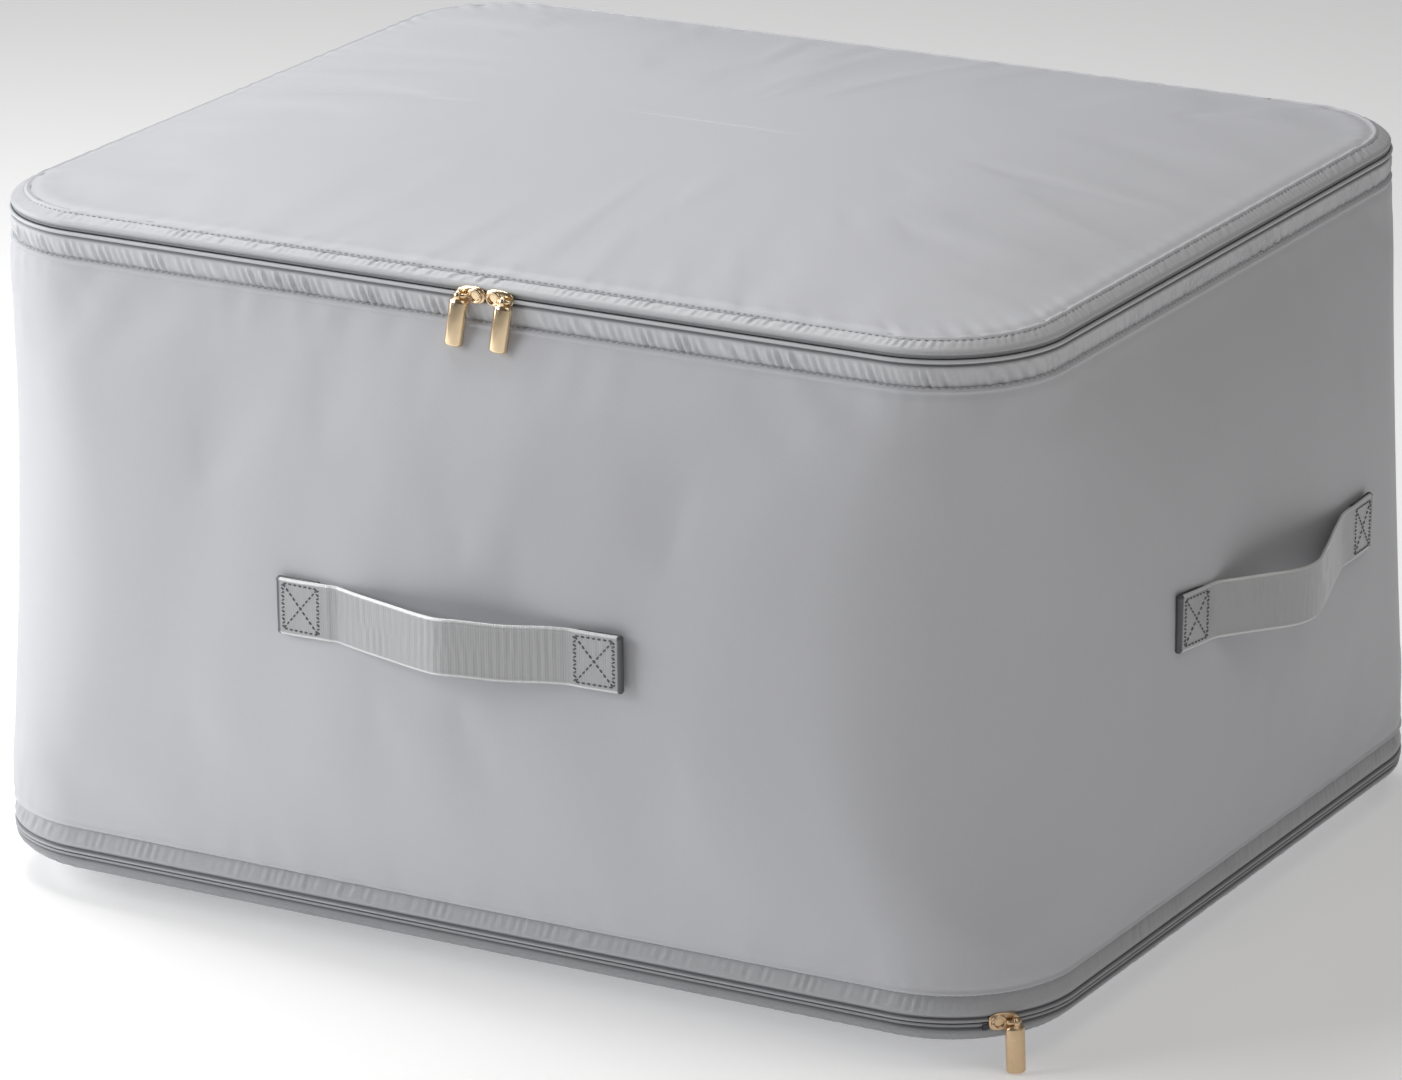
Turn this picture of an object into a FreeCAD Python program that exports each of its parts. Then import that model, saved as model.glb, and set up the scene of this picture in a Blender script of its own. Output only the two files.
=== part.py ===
"""Soft zipped storage box: a stuffed fabric body, a zipped lid, a base held by a second zip,
three webbing handles and three metal zip sliders.

Frame: +Z up, +X along the long side to the right, -Y the front. The origin is on the floor,
under the centre of the base. Lengths are in millimetres.
"""
import FreeCAD, Part
import math
import os

import Sketcher
from FreeCAD import Placement, Rotation, Vector

# Driving dimensions. Every one becomes an aliased cell of the sheet "Sizes".
SIZES = {
    # the two zip loops: plan size of the outer face of the tape, and height of the chain
    "seam_width": 600.0,
    "seam_depth": 492.0,
    "seam_corner": 66.0,
    "seam_height": 361.0,
    "foot_width": 618.0,
    "foot_depth": 507.0,
    "foot_corner": 68.0,
    "foot_height": 26.0,
    # how far the stuffed walls stand out at mid height, and how round their corners get
    "bulge_front": 29.0,
    "bulge_side": 28.0,
    "belly_corner": 137.0,
    "wall_setback": 1.3,
    # layers of the fabric sandwich
    "fabric": 1.2,
    "foam": 3.0,
    "lining": 0.6,
    "layer_gap": 0.5,
    # zip tape and coil
    "tape": 0.9,
    "tape_drop": 13.5,
    "tape_setback": 3.0,
    "tape_flat": 4.2,
    "tape_flat_inset": 0.8,
    "coil_width": 2.8,
    "coil_depth": 2.2,
    "chain_gap": 1.2,
    # lid and base
    "lid_edge_rise": 9.4,
    "lid_edge_inset": 8.4,
    "lid_crown": 15.6,
    "base_rim": 15.0,
    "base_rim_inset": 7.5,
    "base_flat_inset": 66.0,
    "binding": 2.6,
    "hinge_half": 210.0,
    # webbing handles
    "strap_width": 30.0,
    "strap": 1.6,
    "patch": 27.0,
    "grip_half": 35.0,
    "handle_height": 194.5,
    "front_half": 100.0,
    "front_bow": 19.0,
    "front_shift": 8.0,
    "side_half": 112.5,
    "side_bow": 29.0,
    "handle_gap": 1.0,
    # zip sliders and pulls
    "slider_length": 16.0,
    "slider_width": 9.4,
    "plate": 1.2,
    "post": 0.6,
    "arch": 1.6,
    "arch_reach": 4.6,
    "pull_length": 25.4,
    "pull_width": 10.0,
    "pull_thick": 3.0,
    "knuckle": 5.2,
    "knuckle_width": 3.6,
    "knuckle_bore": 3.4,
    "zips_meet": 15.0,
    "foot_slider_angle": -40.5,
    "stop_length": 2.6,
}

doc = FreeCAD.newDocument("StorageBox")
sheet = doc.addObject("Spreadsheet::Sheet", "Sizes")
for row, (alias, value) in enumerate(SIZES.items(), start=1):
    sheet.set(f"A{row}", alias)
    sheet.set(f"B{row}", str(value))
    sheet.setAlias(f"B{row}", alias)
doc.recompute()


class Measure:
    """A number kept together with the sheet expression that gives it."""

    def __init__(self, value, text):
        self.value = value
        self.text = text

    def joined(self, other, sign, value):
        return Measure(value, f"({self.text} {sign} {other.text})")

    def __add__(self, other):
        other = measure(other)
        return self.joined(other, "+", self.value + other.value)

    def __sub__(self, other):
        other = measure(other)
        return self.joined(other, "-", self.value - other.value)

    def __mul__(self, other):
        other = measure(other)
        return self.joined(other, "*", self.value * other.value)

    def __truediv__(self, other):
        other = measure(other)
        return self.joined(other, "/", self.value / other.value)


def measure(item):
    """A Measure from a Measure, a number or a sheet alias."""
    if isinstance(item, Measure):
        return item
    if isinstance(item, str):
        return Measure(float(sheet.get(item)), f"Sizes.{item}")
    return Measure(float(item), f"{float(item):.4f}")


def bind(thing, prop, item):
    """Drive one property from the sheet."""
    thing.setExpression(prop, measure(item).text)


def new_body(label):
    body = doc.addObject("PartDesign::Body", label)
    body.Label = label
    body.AllowCompound = True
    return body


def origin_feature(body, role):
    return next(item for item in body.Origin.OriginFeatures if item.Role == role)


def new_sketch(body, name, height=0.0, plane="XY_Plane"):
    """A sketch on one of the body's own origin planes, raised by height along its normal."""
    sketch = body.newObject("Sketcher::SketchObject", name)
    sketch.AttachmentSupport = [(origin_feature(body, plane), "")]
    sketch.MapMode = "FlatFace"
    raised = measure(height)
    sketch.AttachmentOffset = Placement(Vector(0, 0, raised.value), Rotation())
    bind(sketch, "AttachmentOffset.Base.z", raised)
    return sketch


def dimension(sketch, kind, places, item, name):
    """A named driving dimension bound to the sheet."""
    value = measure(item)
    sketch.addConstraint(Sketcher.Constraint(kind, *places, value.value))
    sketch.renameConstraint(sketch.ConstraintCount - 1, name)
    bind(sketch, f"Constraints.{name}", value)


def relate(sketch, *relations):
    sketch.addConstraint([Sketcher.Constraint(*relation) for relation in relations])


# ---------------------------------------------------------------- closed outlines seen from above

class Outline:
    """A rounded rectangle at one height. With a bulge, its four sides bow outwards as arcs."""

    def __init__(self, height, half_width, half_depth, corner, bulge_front=None, bulge_side=None):
        self.height = measure(height)
        self.half_width = measure(half_width)
        self.half_depth = measure(half_depth)
        self.corner = measure(corner)
        self.bulge_front = bulge_front
        self.bulge_side = bulge_side

    def inset(self, amount):
        """The same outline, drawn in by an equal amount all round."""
        return Outline(self.height, self.half_width - amount, self.half_depth - amount,
                       self.corner - amount, self.bulge_front, self.bulge_side)

    def draw(self, body, name):
        sketch = new_sketch(body, name, self.height)
        if self.bulge_front is None:
            self.draw_straight(sketch)
        else:
            self.draw_bowed(sketch)
        return sketch

    def draw_straight(self, sketch):
        centre_x = self.half_width - self.corner
        centre_y = self.half_depth - self.corner
        radius = self.corner.value
        centres = [Vector(sx * centre_x.value, sy * centre_y.value, 0)
                   for sx, sy in ((1, -1), (1, 1), (-1, 1), (-1, -1))]
        arcs = []
        for turn, centre in enumerate(centres):
            start = math.radians(90 * turn - 90)
            circle = Part.Circle(centre, Vector(0, 0, 1), radius)
            arcs.append(Part.ArcOfCircle(circle, start, start + math.pi / 2))
        shapes = []
        for turn, arc in enumerate(arcs):
            shapes += [arc, Part.LineSegment(arc.EndPoint, arcs[(turn + 1) % 4].StartPoint)]
        sketch.addGeometry(shapes, False)
        for turn in range(4):
            arc = 2 * turn
            side = arc + 1
            following = (arc + 2) % 8
            first, second = ("Vertical", "Horizontal") if turn % 2 == 0 else ("Horizontal", "Vertical")
            relate(sketch,
                   ("Coincident", arc, 2, side, 1),
                   ("Coincident", side, 2, following, 1),
                   (first, arc, 3, arc, 1),
                   (second, arc, 3, arc, 2))
            if turn:
                relate(sketch, ("Equal", 0, arc))
        relate(sketch,
               ("Symmetric", 0, 3, 6, 3, -2),
               ("Symmetric", 0, 3, 2, 3, -1),
               ("Symmetric", 0, 3, 4, 3, -1, 1))
        dimension(sketch, "Radius", (0,), self.corner, "corner")
        dimension(sketch, "DistanceX", (-1, 1, 0, 3), centre_x, "centre_x")
        dimension(sketch, "DistanceY", (0, 3, -1, 1), centre_y, "centre_y")

    def draw_bowed(self, sketch):
        half_width, half_depth = self.half_width, self.half_depth
        front_radius = half_width * half_width / (self.bulge_front * 2) + self.bulge_front / 2
        side_radius = half_depth * half_depth / (self.bulge_side * 2) + self.bulge_side / 2
        front_centre = front_radius - half_depth - self.bulge_front
        side_centre = side_radius - half_width - self.bulge_side
        radius = self.corner.value
        corner = circles_meet(Vector(0, front_centre.value, 0), front_radius.value - radius,
                              Vector(-side_centre.value, 0, 0), side_radius.value - radius)
        lean_front = math.atan2(corner.x, front_centre.value - corner.y)
        lean_side = math.atan2(-corner.y, corner.x + side_centre.value)
        up = Vector(0, 0, 1)
        side_circle = Part.Circle(Vector(-side_centre.value, 0, 0), up, side_radius.value)
        other_side = Part.Circle(Vector(side_centre.value, 0, 0), up, side_radius.value)
        front_circle = Part.Circle(Vector(0, front_centre.value, 0), up, front_radius.value)
        back_circle = Part.Circle(Vector(0, -front_centre.value, 0), up, front_radius.value)
        quarter = math.pi / 2
        corner_spans = ((lean_front - quarter, -lean_side),
                        (lean_side, quarter - lean_front),
                        (quarter + lean_front, 2 * quarter - lean_side),
                        (2 * quarter + lean_side, 3 * quarter - lean_front))
        side_spans = ((side_circle, -lean_side, lean_side),
                      (back_circle, quarter - lean_front, quarter + lean_front),
                      (other_side, 2 * quarter - lean_side, 2 * quarter + lean_side),
                      (front_circle, 3 * quarter - lean_front, 3 * quarter + lean_front))
        shapes = []
        signs = ((1, 1), (1, -1), (-1, -1), (-1, 1))
        for (sx, sy), (begin, end), (circle, side_begin, side_end) in zip(signs, corner_spans, side_spans):
            centre = Vector(sx * corner.x, sy * corner.y, 0)
            shapes.append(Part.ArcOfCircle(Part.Circle(centre, up, radius), begin, end))
            shapes.append(Part.ArcOfCircle(circle, side_begin, side_end))
        sketch.addGeometry(shapes, False)
        for arc in range(8):
            relate(sketch, ("Tangent", arc, 2, (arc + 1) % 8, 1))
        relate(sketch,
               ("Equal", 0, 2), ("Equal", 0, 4), ("Equal", 0, 6),
               ("Equal", 1, 5), ("Equal", 3, 7),
               ("PointOnObject", 7, 3, -2),
               ("PointOnObject", 1, 3, -1),
               ("Symmetric", 7, 3, 3, 3, -1, 1),
               ("Symmetric", 1, 3, 5, 3, -1, 1))
        dimension(sketch, "Radius", (0,), self.corner, "corner")
        dimension(sketch, "Radius", (7,), front_radius, "front_radius")
        dimension(sketch, "Radius", (1,), side_radius, "side_radius")
        dimension(sketch, "DistanceY", (-1, 1, 7, 3), front_centre, "front_centre")
        dimension(sketch, "DistanceX", (1, 3, -1, 1), side_centre, "side_centre")


def circles_meet(centre_a, radius_a, centre_b, radius_b):
    """The point of two circles that lies in front and to the right."""
    apart = centre_b - centre_a
    distance = apart.Length
    along = (radius_a ** 2 - radius_b ** 2 + distance ** 2) / (2 * distance)
    across = math.sqrt(radius_a ** 2 - along ** 2)
    unit = apart / distance
    normal = Vector(unit.y, -unit.x, 0)
    points = [centre_a + unit * along + normal * sign * across for sign in (-1, 1)]
    return max(points, key=lambda point: point.x - point.y)


# ---------------------------------------------------------------- shells and rings

def loft(body, kind, name, outlines, ruled):
    sketches = [outline.draw(body, f"{name}_{level}") for level, outline in enumerate(outlines)]
    feature = body.newObject(kind, name)
    feature.Profile = sketches[0]
    feature.Sections = sketches[1:]
    feature.Ruled = ruled
    return feature


def shell(label, outer, inner, ruled=False):
    """A sheet of material: the solid through the outer outlines less the one through the inner."""
    body = new_body(label)
    loft(body, "PartDesign::AdditiveLoft", f"{label}_outside", outer, ruled)
    loft(body, "PartDesign::SubtractiveLoft", f"{label}_inside", inner, ruled)
    return body


def ring(label, thickness, *outlines):
    """A band of one thickness that runs round the box through its outlines, from low to high."""
    return shell(label, outlines, [outline.inset(thickness) for outline in outlines], True)


def open_at_back(body, top):
    """Cut a ring away where the cloth hinge takes its place, along the back."""
    sketch = new_sketch(body, f"{body.Label}_gap", top)
    half = measure("hinge_half")
    middle = measure("seam_depth") / 2
    polygon(sketch, block_corners(measure(0) - half, half, middle - 30, middle + 30))
    pocket = body.newObject("PartDesign::Pocket", f"{body.Label}_opening")
    pocket.Profile = sketch
    pocket.Type = "ThroughAll"
    return body


def polygon(sketch, corners):
    """Straight lines through corners, closed, with both places of every corner driven."""
    corners = [(measure(across), measure(upward)) for across, upward in corners]
    points = [Vector(across.value, upward.value, 0) for across, upward in corners]
    count = len(points)
    sketch.addGeometry([Part.LineSegment(points[side], points[(side + 1) % count])
                        for side in range(count)], False)
    for side in range(count):
        relate(sketch, ("Coincident", side, 2, (side + 1) % count, 1))
    for corner, (across, upward) in enumerate(corners):
        hold(sketch, "DistanceX", corner, across)
        hold(sketch, "DistanceY", corner, upward)


def hold(sketch, kind, corner, item):
    """Hold the start of one line at a signed distance from the origin."""
    name = f"{kind[-1].lower()}_{corner}"
    if item.value >= 0:
        dimension(sketch, kind, (-1, 1, corner, 1), item, name)
    else:
        dimension(sketch, kind, (corner, 1, -1, 1), measure(0) - item, name)


def block_corners(left, right, lower, upper):
    return [(left, lower), (right, lower), (right, upper), (left, upper)]


def pad(body, sketch, length, middle=False):
    feature = body.newObject("PartDesign::Pad", f"{sketch.Name}_pad")
    feature.Profile = sketch
    feature.Length = measure(length).value
    feature.Midplane = middle
    bind(feature, "Length", length)
    return feature


def top_loop(rise, inset=0.0):
    """The upper zip's plan at a height above its chain."""
    plan = Outline(measure("seam_height") + rise, measure("seam_width") / 2,
                   measure("seam_depth") / 2, "seam_corner")
    return plan.inset(measure(inset))


def foot_loop(rise, inset=0.0):
    """The lower zip's plan at a height above its chain."""
    plan = Outline(measure("foot_height") + rise, measure("foot_width") / 2,
                   measure("foot_depth") / 2, "foot_corner")
    return plan.inset(measure(inset))


# The side walls: level is -1 at the lower edge, +1 at the upper edge, 0 at mid height.
WALL_LEVELS = (-1.0, -0.8, -0.45, 0.0, 0.45, 0.8, 1.0)
FULLNESS = 2.46
CORNER_LAG = 1.7


def wall_outline(level, inset):
    """One level of the walls: widest half way up, straight-sided at both edges.

    The corners grow rounder more slowly than the sides bulge.
    """
    share = (level + 1) / 2
    fullness = 1 - abs(level) ** FULLNESS
    bottom = measure("foot_height") + "tape_drop"
    top = measure("seam_height") - "tape_drop"
    width = measure("foot_width") * (1 - share) + measure("seam_width") * share
    depth = measure("foot_depth") * (1 - share) + measure("seam_depth") * share
    edge = measure("foot_corner") * (1 - share) + measure("seam_corner") * share
    roundness = fullness ** CORNER_LAG
    corner = edge * (1 - roundness) + measure("belly_corner") * roundness
    bulges = (None, None)
    if fullness:
        bulges = (measure("bulge_front") * fullness, measure("bulge_side") * fullness)
    plan = Outline(bottom * (1 - share) + top * share, width / 2, depth / 2, corner, *bulges)
    return plan.inset(inset + "wall_setback")


def wall_layer(label, depth, thickness, ruled):
    outer = [wall_outline(level, measure(depth)) for level in WALL_LEVELS]
    inner = [wall_outline(level, measure(depth) + thickness) for level in WALL_LEVELS]
    return shell(label, outer, inner, ruled)


DOME_SHARES = (0.16, 0.36, 0.64, 0.92)


def lid_outlines(depth):
    """The lid's crown, from its sewn edge to the middle, at a depth below its face."""
    edge = top_loop(measure("lid_edge_rise") - depth / 2, measure("lid_edge_inset") + depth)
    outlines = [edge]
    for share in DOME_SHARES:
        drawn_in = measure("seam_depth") / 2 * share
        rise = measure("lid_edge_rise") + measure("lid_crown") * (1 - (1 - share) ** 2) - depth
        plan = Outline(measure("seam_height") + rise, measure("seam_width") / 2 - drawn_in,
                       measure("seam_depth") / 2 - drawn_in, measure("seam_corner") * (1 - share))
        outlines.append(plan)
    return outlines


def lid_layer(label, depth, thickness, ruled):
    return shell(label, lid_outlines(measure(depth)), lid_outlines(measure(depth) + thickness), ruled)


BASE_SHARES = (1.0, 0.6, 0.25)


def base_outlines(depth):
    """The base, from its flat underside out and up to its sewn edge, at a depth inside its face."""
    run = measure("base_flat_inset") - "base_rim_inset"
    outlines = []
    for share in BASE_SHARES:
        drawn_in = measure("base_rim_inset") + run * share
        height = measure("base_rim") * (1 - share) ** 1.5 + depth
        outlines.append(Outline(height, measure("foot_width") / 2 - drawn_in,
                                measure("foot_depth") / 2 - drawn_in,
                                measure("foot_corner") * (1 - share / 2)))
    edge = foot_loop(measure("base_rim") - "foot_height", measure("base_rim_inset") + depth)
    return outlines + [edge]


def base_layer(label, depth, thickness, ruled):
    return shell(label, base_outlines(measure(depth)), base_outlines(measure(depth) + thickness), ruled)


# depths of the three layers below the outer face
foam_depth = measure("fabric") + "layer_gap"
lining_depth = foam_depth + "foam" + "layer_gap"

parts = [
    wall_layer("wall_panel", 0, "fabric", False),
    wall_layer("wall_foam", foam_depth, "foam", False),
    wall_layer("wall_lining", lining_depth, "lining", False),
    lid_layer("lid_panel", 0, "fabric", False),
    lid_layer("lid_foam", foam_depth, "foam", True),
    lid_layer("lid_lining", lining_depth, "lining", True),
    base_layer("base_panel", 0, "fabric", False),
    base_layer("base_foam", foam_depth, "foam", True),
    base_layer("base_lining", lining_depth, "lining", True),
]

# zip tapes: each runs from the chain to the edge of its fabric panel, upright beside the coil
half_gap = measure("chain_gap") / 2
below_chain = measure(0) - half_gap
panel_edge = measure("tape_drop") - 0.3
parts += [
    open_at_back(ring("top_tape_wall", "tape", top_loop(measure(0) - panel_edge, "tape_setback"),
                      top_loop(measure(0) - "tape_flat", "tape_flat_inset"), top_loop(below_chain)),
                 top_loop(5).height),
    open_at_back(ring("top_tape_lid", "tape", top_loop(half_gap), top_loop("tape_flat", "tape_flat_inset"),
                      top_loop(measure("lid_edge_rise") - 0.3, "lid_edge_inset")),
                 top_loop(15).height),
    ring("foot_tape_wall", "tape", foot_loop(half_gap), foot_loop(panel_edge, 1.0)),
    ring("foot_tape_base", "tape", foot_loop(measure("base_rim") + 0.3 - "foot_height", "base_rim_inset"),
         foot_loop(measure(0) - "tape_flat", "tape_flat_inset"), foot_loop(below_chain)),
]

# zip coils, sewn along the inner face of each tape
coil_inset = measure("tape") + "tape_flat_inset" + 0.4
for label, loop, above in (("top_coil_wall", top_loop, False), ("top_coil_lid", top_loop, True),
                           ("foot_coil_wall", foot_loop, True), ("foot_coil_base", foot_loop, False)):
    start = half_gap if above else below_chain - "coil_width"
    coil = ring(label, "coil_depth", loop(start, coil_inset), loop(start + "coil_width", coil_inset))
    if loop is top_loop:
        open_at_back(coil, loop(10).height)
    parts.append(coil)

# bias binding that covers the raw edges inside, one ring on each sewn seam
for label, loop, start, inset in (
        ("top_binding_wall", top_loop, measure(0) - "tape_drop" - 6, 12.0),
        ("top_binding_lid", top_loop, measure(2), 12.0),
        ("foot_binding_wall", foot_loop, measure("tape_drop") + 3, 9.0),
        ("foot_binding_base", foot_loop, measure(-4.5), 13.5)):
    parts.append(ring(label, "binding", loop(start, inset), loop(start + 3, inset)))

# cloth hinge along the back, from the wall's top edge up to the lid's edge
hinge_strip = new_body("lid_hinge_strip")
profile = new_sketch(hinge_strip, "hinge_profile", measure(0) - "hinge_half" + 0.5, "YZ_Plane")
seam_back = measure("seam_depth") / 2
seam_level = measure("seam_height")
strip_low = seam_level - "tape_drop" + 0.3
strip_high = seam_level + "lid_edge_rise" - 0.3
strip_foot = seam_back - "tape_setback"
strip_head = seam_back - "lid_edge_inset"
polygon(profile, [
    (strip_foot, strip_low),
    (seam_back, seam_level),
    (strip_head, strip_high),
    (strip_head - "tape", strip_high),
    (seam_back - "tape", seam_level),
    (strip_foot - "tape", strip_low),
])
pad(hinge_strip, profile, measure("hinge_half") * 2 - 1)
parts.append(hinge_strip)


# ---------------------------------------------------------------- webbing handles

def handle_parts(name, half_chord, bow, placement):
    """One strap: two sewn ends that rise in an S-curve, and the free grip between them.

    Drawn with the wall's face at y = 0 and outwards along -y, then placed on its wall.
    """
    half_strap = measure("strap") / 2
    half_span = measure(half_chord) - "patch"
    bow = measure(bow)
    bend = half_span * 0.35
    crest = (half_span * half_span + bow * bow) / (bow * 2) - bend
    lift = half_strap + 0.3
    bend_y = lift + bend
    crest_y = crest - bow - lift
    turn = 2 * math.atan2(bow.value, half_span.value)
    cut = math.asin(SIZES["grip_half"] / crest.value)

    ends = new_body(f"{name}_ends")
    sketch = new_sketch(ends, f"{name}_end_plan")
    draw_strap_end(sketch, measure(half_chord), half_span, bend, bend_y, crest, crest_y, turn, cut)
    half = pad(ends, sketch, "strap_width", middle=True)
    pair = ends.newObject("PartDesign::Mirrored", f"{name}_pair")
    pair.Originals = [half]
    pair.MirrorPlane = (origin_feature(ends, "YZ_Plane"), [""])
    ends.Tip = pair

    grip = new_body(name)
    sketch = new_sketch(grip, f"{name}_plan")
    draw_grip(sketch, crest, crest_y, half_strap, cut)
    pad(grip, sketch, "strap_width", middle=True)
    for body in (ends, grip):
        body.Placement = placement
    return [ends, grip]


def draw_strap_end(sketch, half_chord, half_span, bend, bend_y, crest, crest_y, turn, cut):
    half_strap = measure("strap") / 2
    up = Vector(0, 0, 1)
    bend_centre = Vector(half_span.value, -bend_y.value, 0)
    crest_centre = Vector(0, crest_y.value, 0)
    quarter = math.pi / 2
    gap = 0.3 / crest.value

    def bend_arc(radius):
        return Part.ArcOfCircle(Part.Circle(bend_centre, up, radius), quarter, quarter + turn)

    def crest_arc(radius):
        circle = Part.Circle(crest_centre, up, radius)
        return Part.ArcOfCircle(circle, 3 * quarter + cut + gap, 3 * quarter + turn)

    inner = (bend_arc(bend.value + half_strap.value), crest_arc(crest.value - half_strap.value))
    outer = (bend_arc(bend.value - half_strap.value), crest_arc(crest.value + half_strap.value))
    end_inner = Vector(half_chord.value, inner[0].StartPoint.y, 0)
    end_outer = Vector(half_chord.value, outer[0].StartPoint.y, 0)
    sketch.addGeometry([
        Part.LineSegment(end_inner, inner[0].StartPoint),
        inner[0],
        inner[1],
        Part.LineSegment(inner[1].StartPoint, outer[1].StartPoint),
        outer[1],
        outer[0],
        Part.LineSegment(outer[0].StartPoint, end_outer),
        Part.LineSegment(end_outer, end_inner),
    ], False)
    relate(sketch,
           ("Tangent", 0, 2, 1, 1), ("Tangent", 1, 2, 2, 2), ("Coincident", 2, 1, 3, 1),
           ("Coincident", 3, 2, 4, 1), ("Tangent", 4, 2, 5, 2), ("Tangent", 5, 1, 6, 1),
           ("Coincident", 6, 2, 7, 1), ("Coincident", 7, 2, 0, 1),
           ("Coincident", 1, 3, 5, 3), ("Coincident", 2, 3, 4, 3),
           ("Horizontal", 0), ("Horizontal", 6), ("Vertical", 7),
           ("PointOnObject", 2, 3, -2), ("PointOnObject", 2, 3, 3))
    dimension(sketch, "Radius", (1,), bend + half_strap, "bend_inner")
    dimension(sketch, "Radius", (5,), bend - half_strap, "bend_outer")
    dimension(sketch, "Radius", (2,), crest - half_strap, "crest_inner")
    dimension(sketch, "DistanceX", (-1, 1, 1, 3), half_span, "half_span")
    dimension(sketch, "DistanceY", (1, 3, -1, 1), bend_y, "bend_height")
    dimension(sketch, "DistanceX", (-1, 1, 0, 1), half_chord, "half_chord")
    share = (crest - half_strap) / crest
    dimension(sketch, "DistanceX", (-1, 1, 2, 1), (measure("grip_half") + 0.3) * share, "cut")


def draw_grip(sketch, crest, crest_y, half_strap, cut):
    up = Vector(0, 0, 1)
    centre = Vector(0, crest_y.value, 0)
    quarter = math.pi / 2
    inner, outer = (Part.ArcOfCircle(Part.Circle(centre, up, crest.value + side * half_strap.value),
                                     3 * quarter - cut, 3 * quarter + cut) for side in (-1, 1))
    sketch.addGeometry([
        outer,
        Part.LineSegment(outer.EndPoint, inner.EndPoint),
        inner,
        Part.LineSegment(inner.StartPoint, outer.StartPoint),
    ], False)
    relate(sketch,
           ("Coincident", 0, 2, 1, 1), ("Coincident", 1, 2, 2, 2),
           ("Coincident", 2, 1, 3, 1), ("Coincident", 3, 2, 0, 1),
           ("Coincident", 0, 3, 2, 3), ("PointOnObject", 0, 3, -2),
           ("PointOnObject", 0, 3, 1), ("PointOnObject", 0, 3, 3),
           ("Symmetric", 2, 1, 2, 2, -2))
    dimension(sketch, "Radius", (0,), crest + half_strap, "crest_outer")
    dimension(sketch, "Radius", (2,), crest - half_strap, "crest_inner")
    dimension(sketch, "DistanceY", (-1, 1, 0, 3), crest_y, "crest_height")
    share = (crest - half_strap) / crest
    dimension(sketch, "DistanceX", (-1, 1, 2, 2), (measure("grip_half") - 0.3) * share, "cut")


def wall_face(half_length, bulge, reach, at):
    """How far the belly of a wall stands from the box's middle, at a distance along the wall."""
    radius = half_length ** 2 / (2 * bulge) + bulge / 2
    return reach + bulge - (radius - math.sqrt(radius ** 2 - at ** 2))


mean_width = (SIZES["seam_width"] + SIZES["foot_width"]) / 4 - SIZES["wall_setback"]
mean_depth = (SIZES["seam_depth"] + SIZES["foot_depth"]) / 4 - SIZES["wall_setback"]
shift = SIZES["front_shift"]
front_face = wall_face(mean_width, SIZES["bulge_front"], mean_depth,
                       SIZES["front_half"] - SIZES["patch"] - shift)
side_face = wall_face(mean_depth, SIZES["bulge_side"], mean_width, SIZES["side_half"] - SIZES["patch"])
height = SIZES["handle_height"]
handle_gap = SIZES["handle_gap"]
up = Vector(0, 0, 1)


def tilted(turn, tilt):
    """Turned to face its wall, after a small tilt in the plane of that wall."""
    return Rotation(up, turn).multiply(Rotation(Vector(0, 1, 0), tilt))


# the side handles are sewn on with their front ends a little higher
SIDE_TILT = 2.9
parts += handle_parts("front_handle", "front_half", "front_bow",
                      Placement(Vector(shift, -front_face - handle_gap, height), tilted(0, 0)))
parts += handle_parts("right_handle", "side_half", "side_bow",
                      Placement(Vector(side_face + handle_gap, 0, height), tilted(90, SIDE_TILT)))
parts += handle_parts("left_handle", "side_half", "side_bow",
                      Placement(Vector(-side_face - handle_gap, 0, height), tilted(-90, -SIDE_TILT)))


# ---------------------------------------------------------------- zip sliders and pulls

def slider_part(label, nose, placement):
    """A zip slider: front and back plates, the post between the coils, and the pull's arch.

    Drawn with the tape's face at y = 0, the chain along x and the nose towards nose * x.
    """
    body = new_body(label)
    half_length = measure("slider_length") / 2
    half_width = measure("slider_width") / 2
    back = coil_inset + "coil_depth" + 1.2
    front_plate = new_sketch(body, f"{label}_front_plan", 0.3, "XZ_Plane")
    slider_plan(front_plate, half_length, half_width)
    plate = pad(body, front_plate, "plate")
    fillet(body, plate, 0.5, lambda edge: on_front_face(edge, plate))
    back_plate = new_sketch(body, f"{label}_back_plan", measure(0) - back - "plate", "XZ_Plane")
    slider_plan(back_plate, half_length - 1, half_width - 0.9)
    pad(body, back_plate, "plate")

    post = new_sketch(body, f"{label}_post_plan", measure(0) - back - 0.2, "XZ_Plane")
    post_ends = sorted((nose * 4.8, nose * 6.4))
    polygon(post, block_corners(*post_ends, measure(0) - measure("post") / 2, measure("post") / 2))
    pad(body, post, back + 0.8)

    arch = new_sketch(body, f"{label}_arch_plan", -1.0, "XY_Plane")
    root = measure(0) - "plate"
    top = measure(0) - "arch_reach" - measure("arch") / 2
    under = top + "arch"
    tail, lead, foot = -nose * 7.6, nose * 4.4, nose * 1.2
    polygon(arch, [
        (tail, root),
        (tail, top),
        (lead - foot, top),
        (lead, top + 1.4),
        (lead, root),
        (lead - foot, root),
        (lead - foot * 1.7, under),
        (tail + foot, under),
        (tail + foot, root),
    ])
    pad(body, arch, 2.0)
    body.Placement = placement
    return body


def slider_plan(sketch, half_length, half_width):
    """A slider plate with clipped corners."""
    clip = 1.8
    x, z = half_length, half_width
    left, lower = measure(0) - x, measure(0) - z
    polygon(sketch, [
        (left, lower + clip),
        (left + clip, lower),
        (x - clip, lower),
        (x, lower + clip),
        (x, z - clip),
        (x - clip, z),
        (left + clip, z),
        (left, z - clip),
    ])


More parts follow.
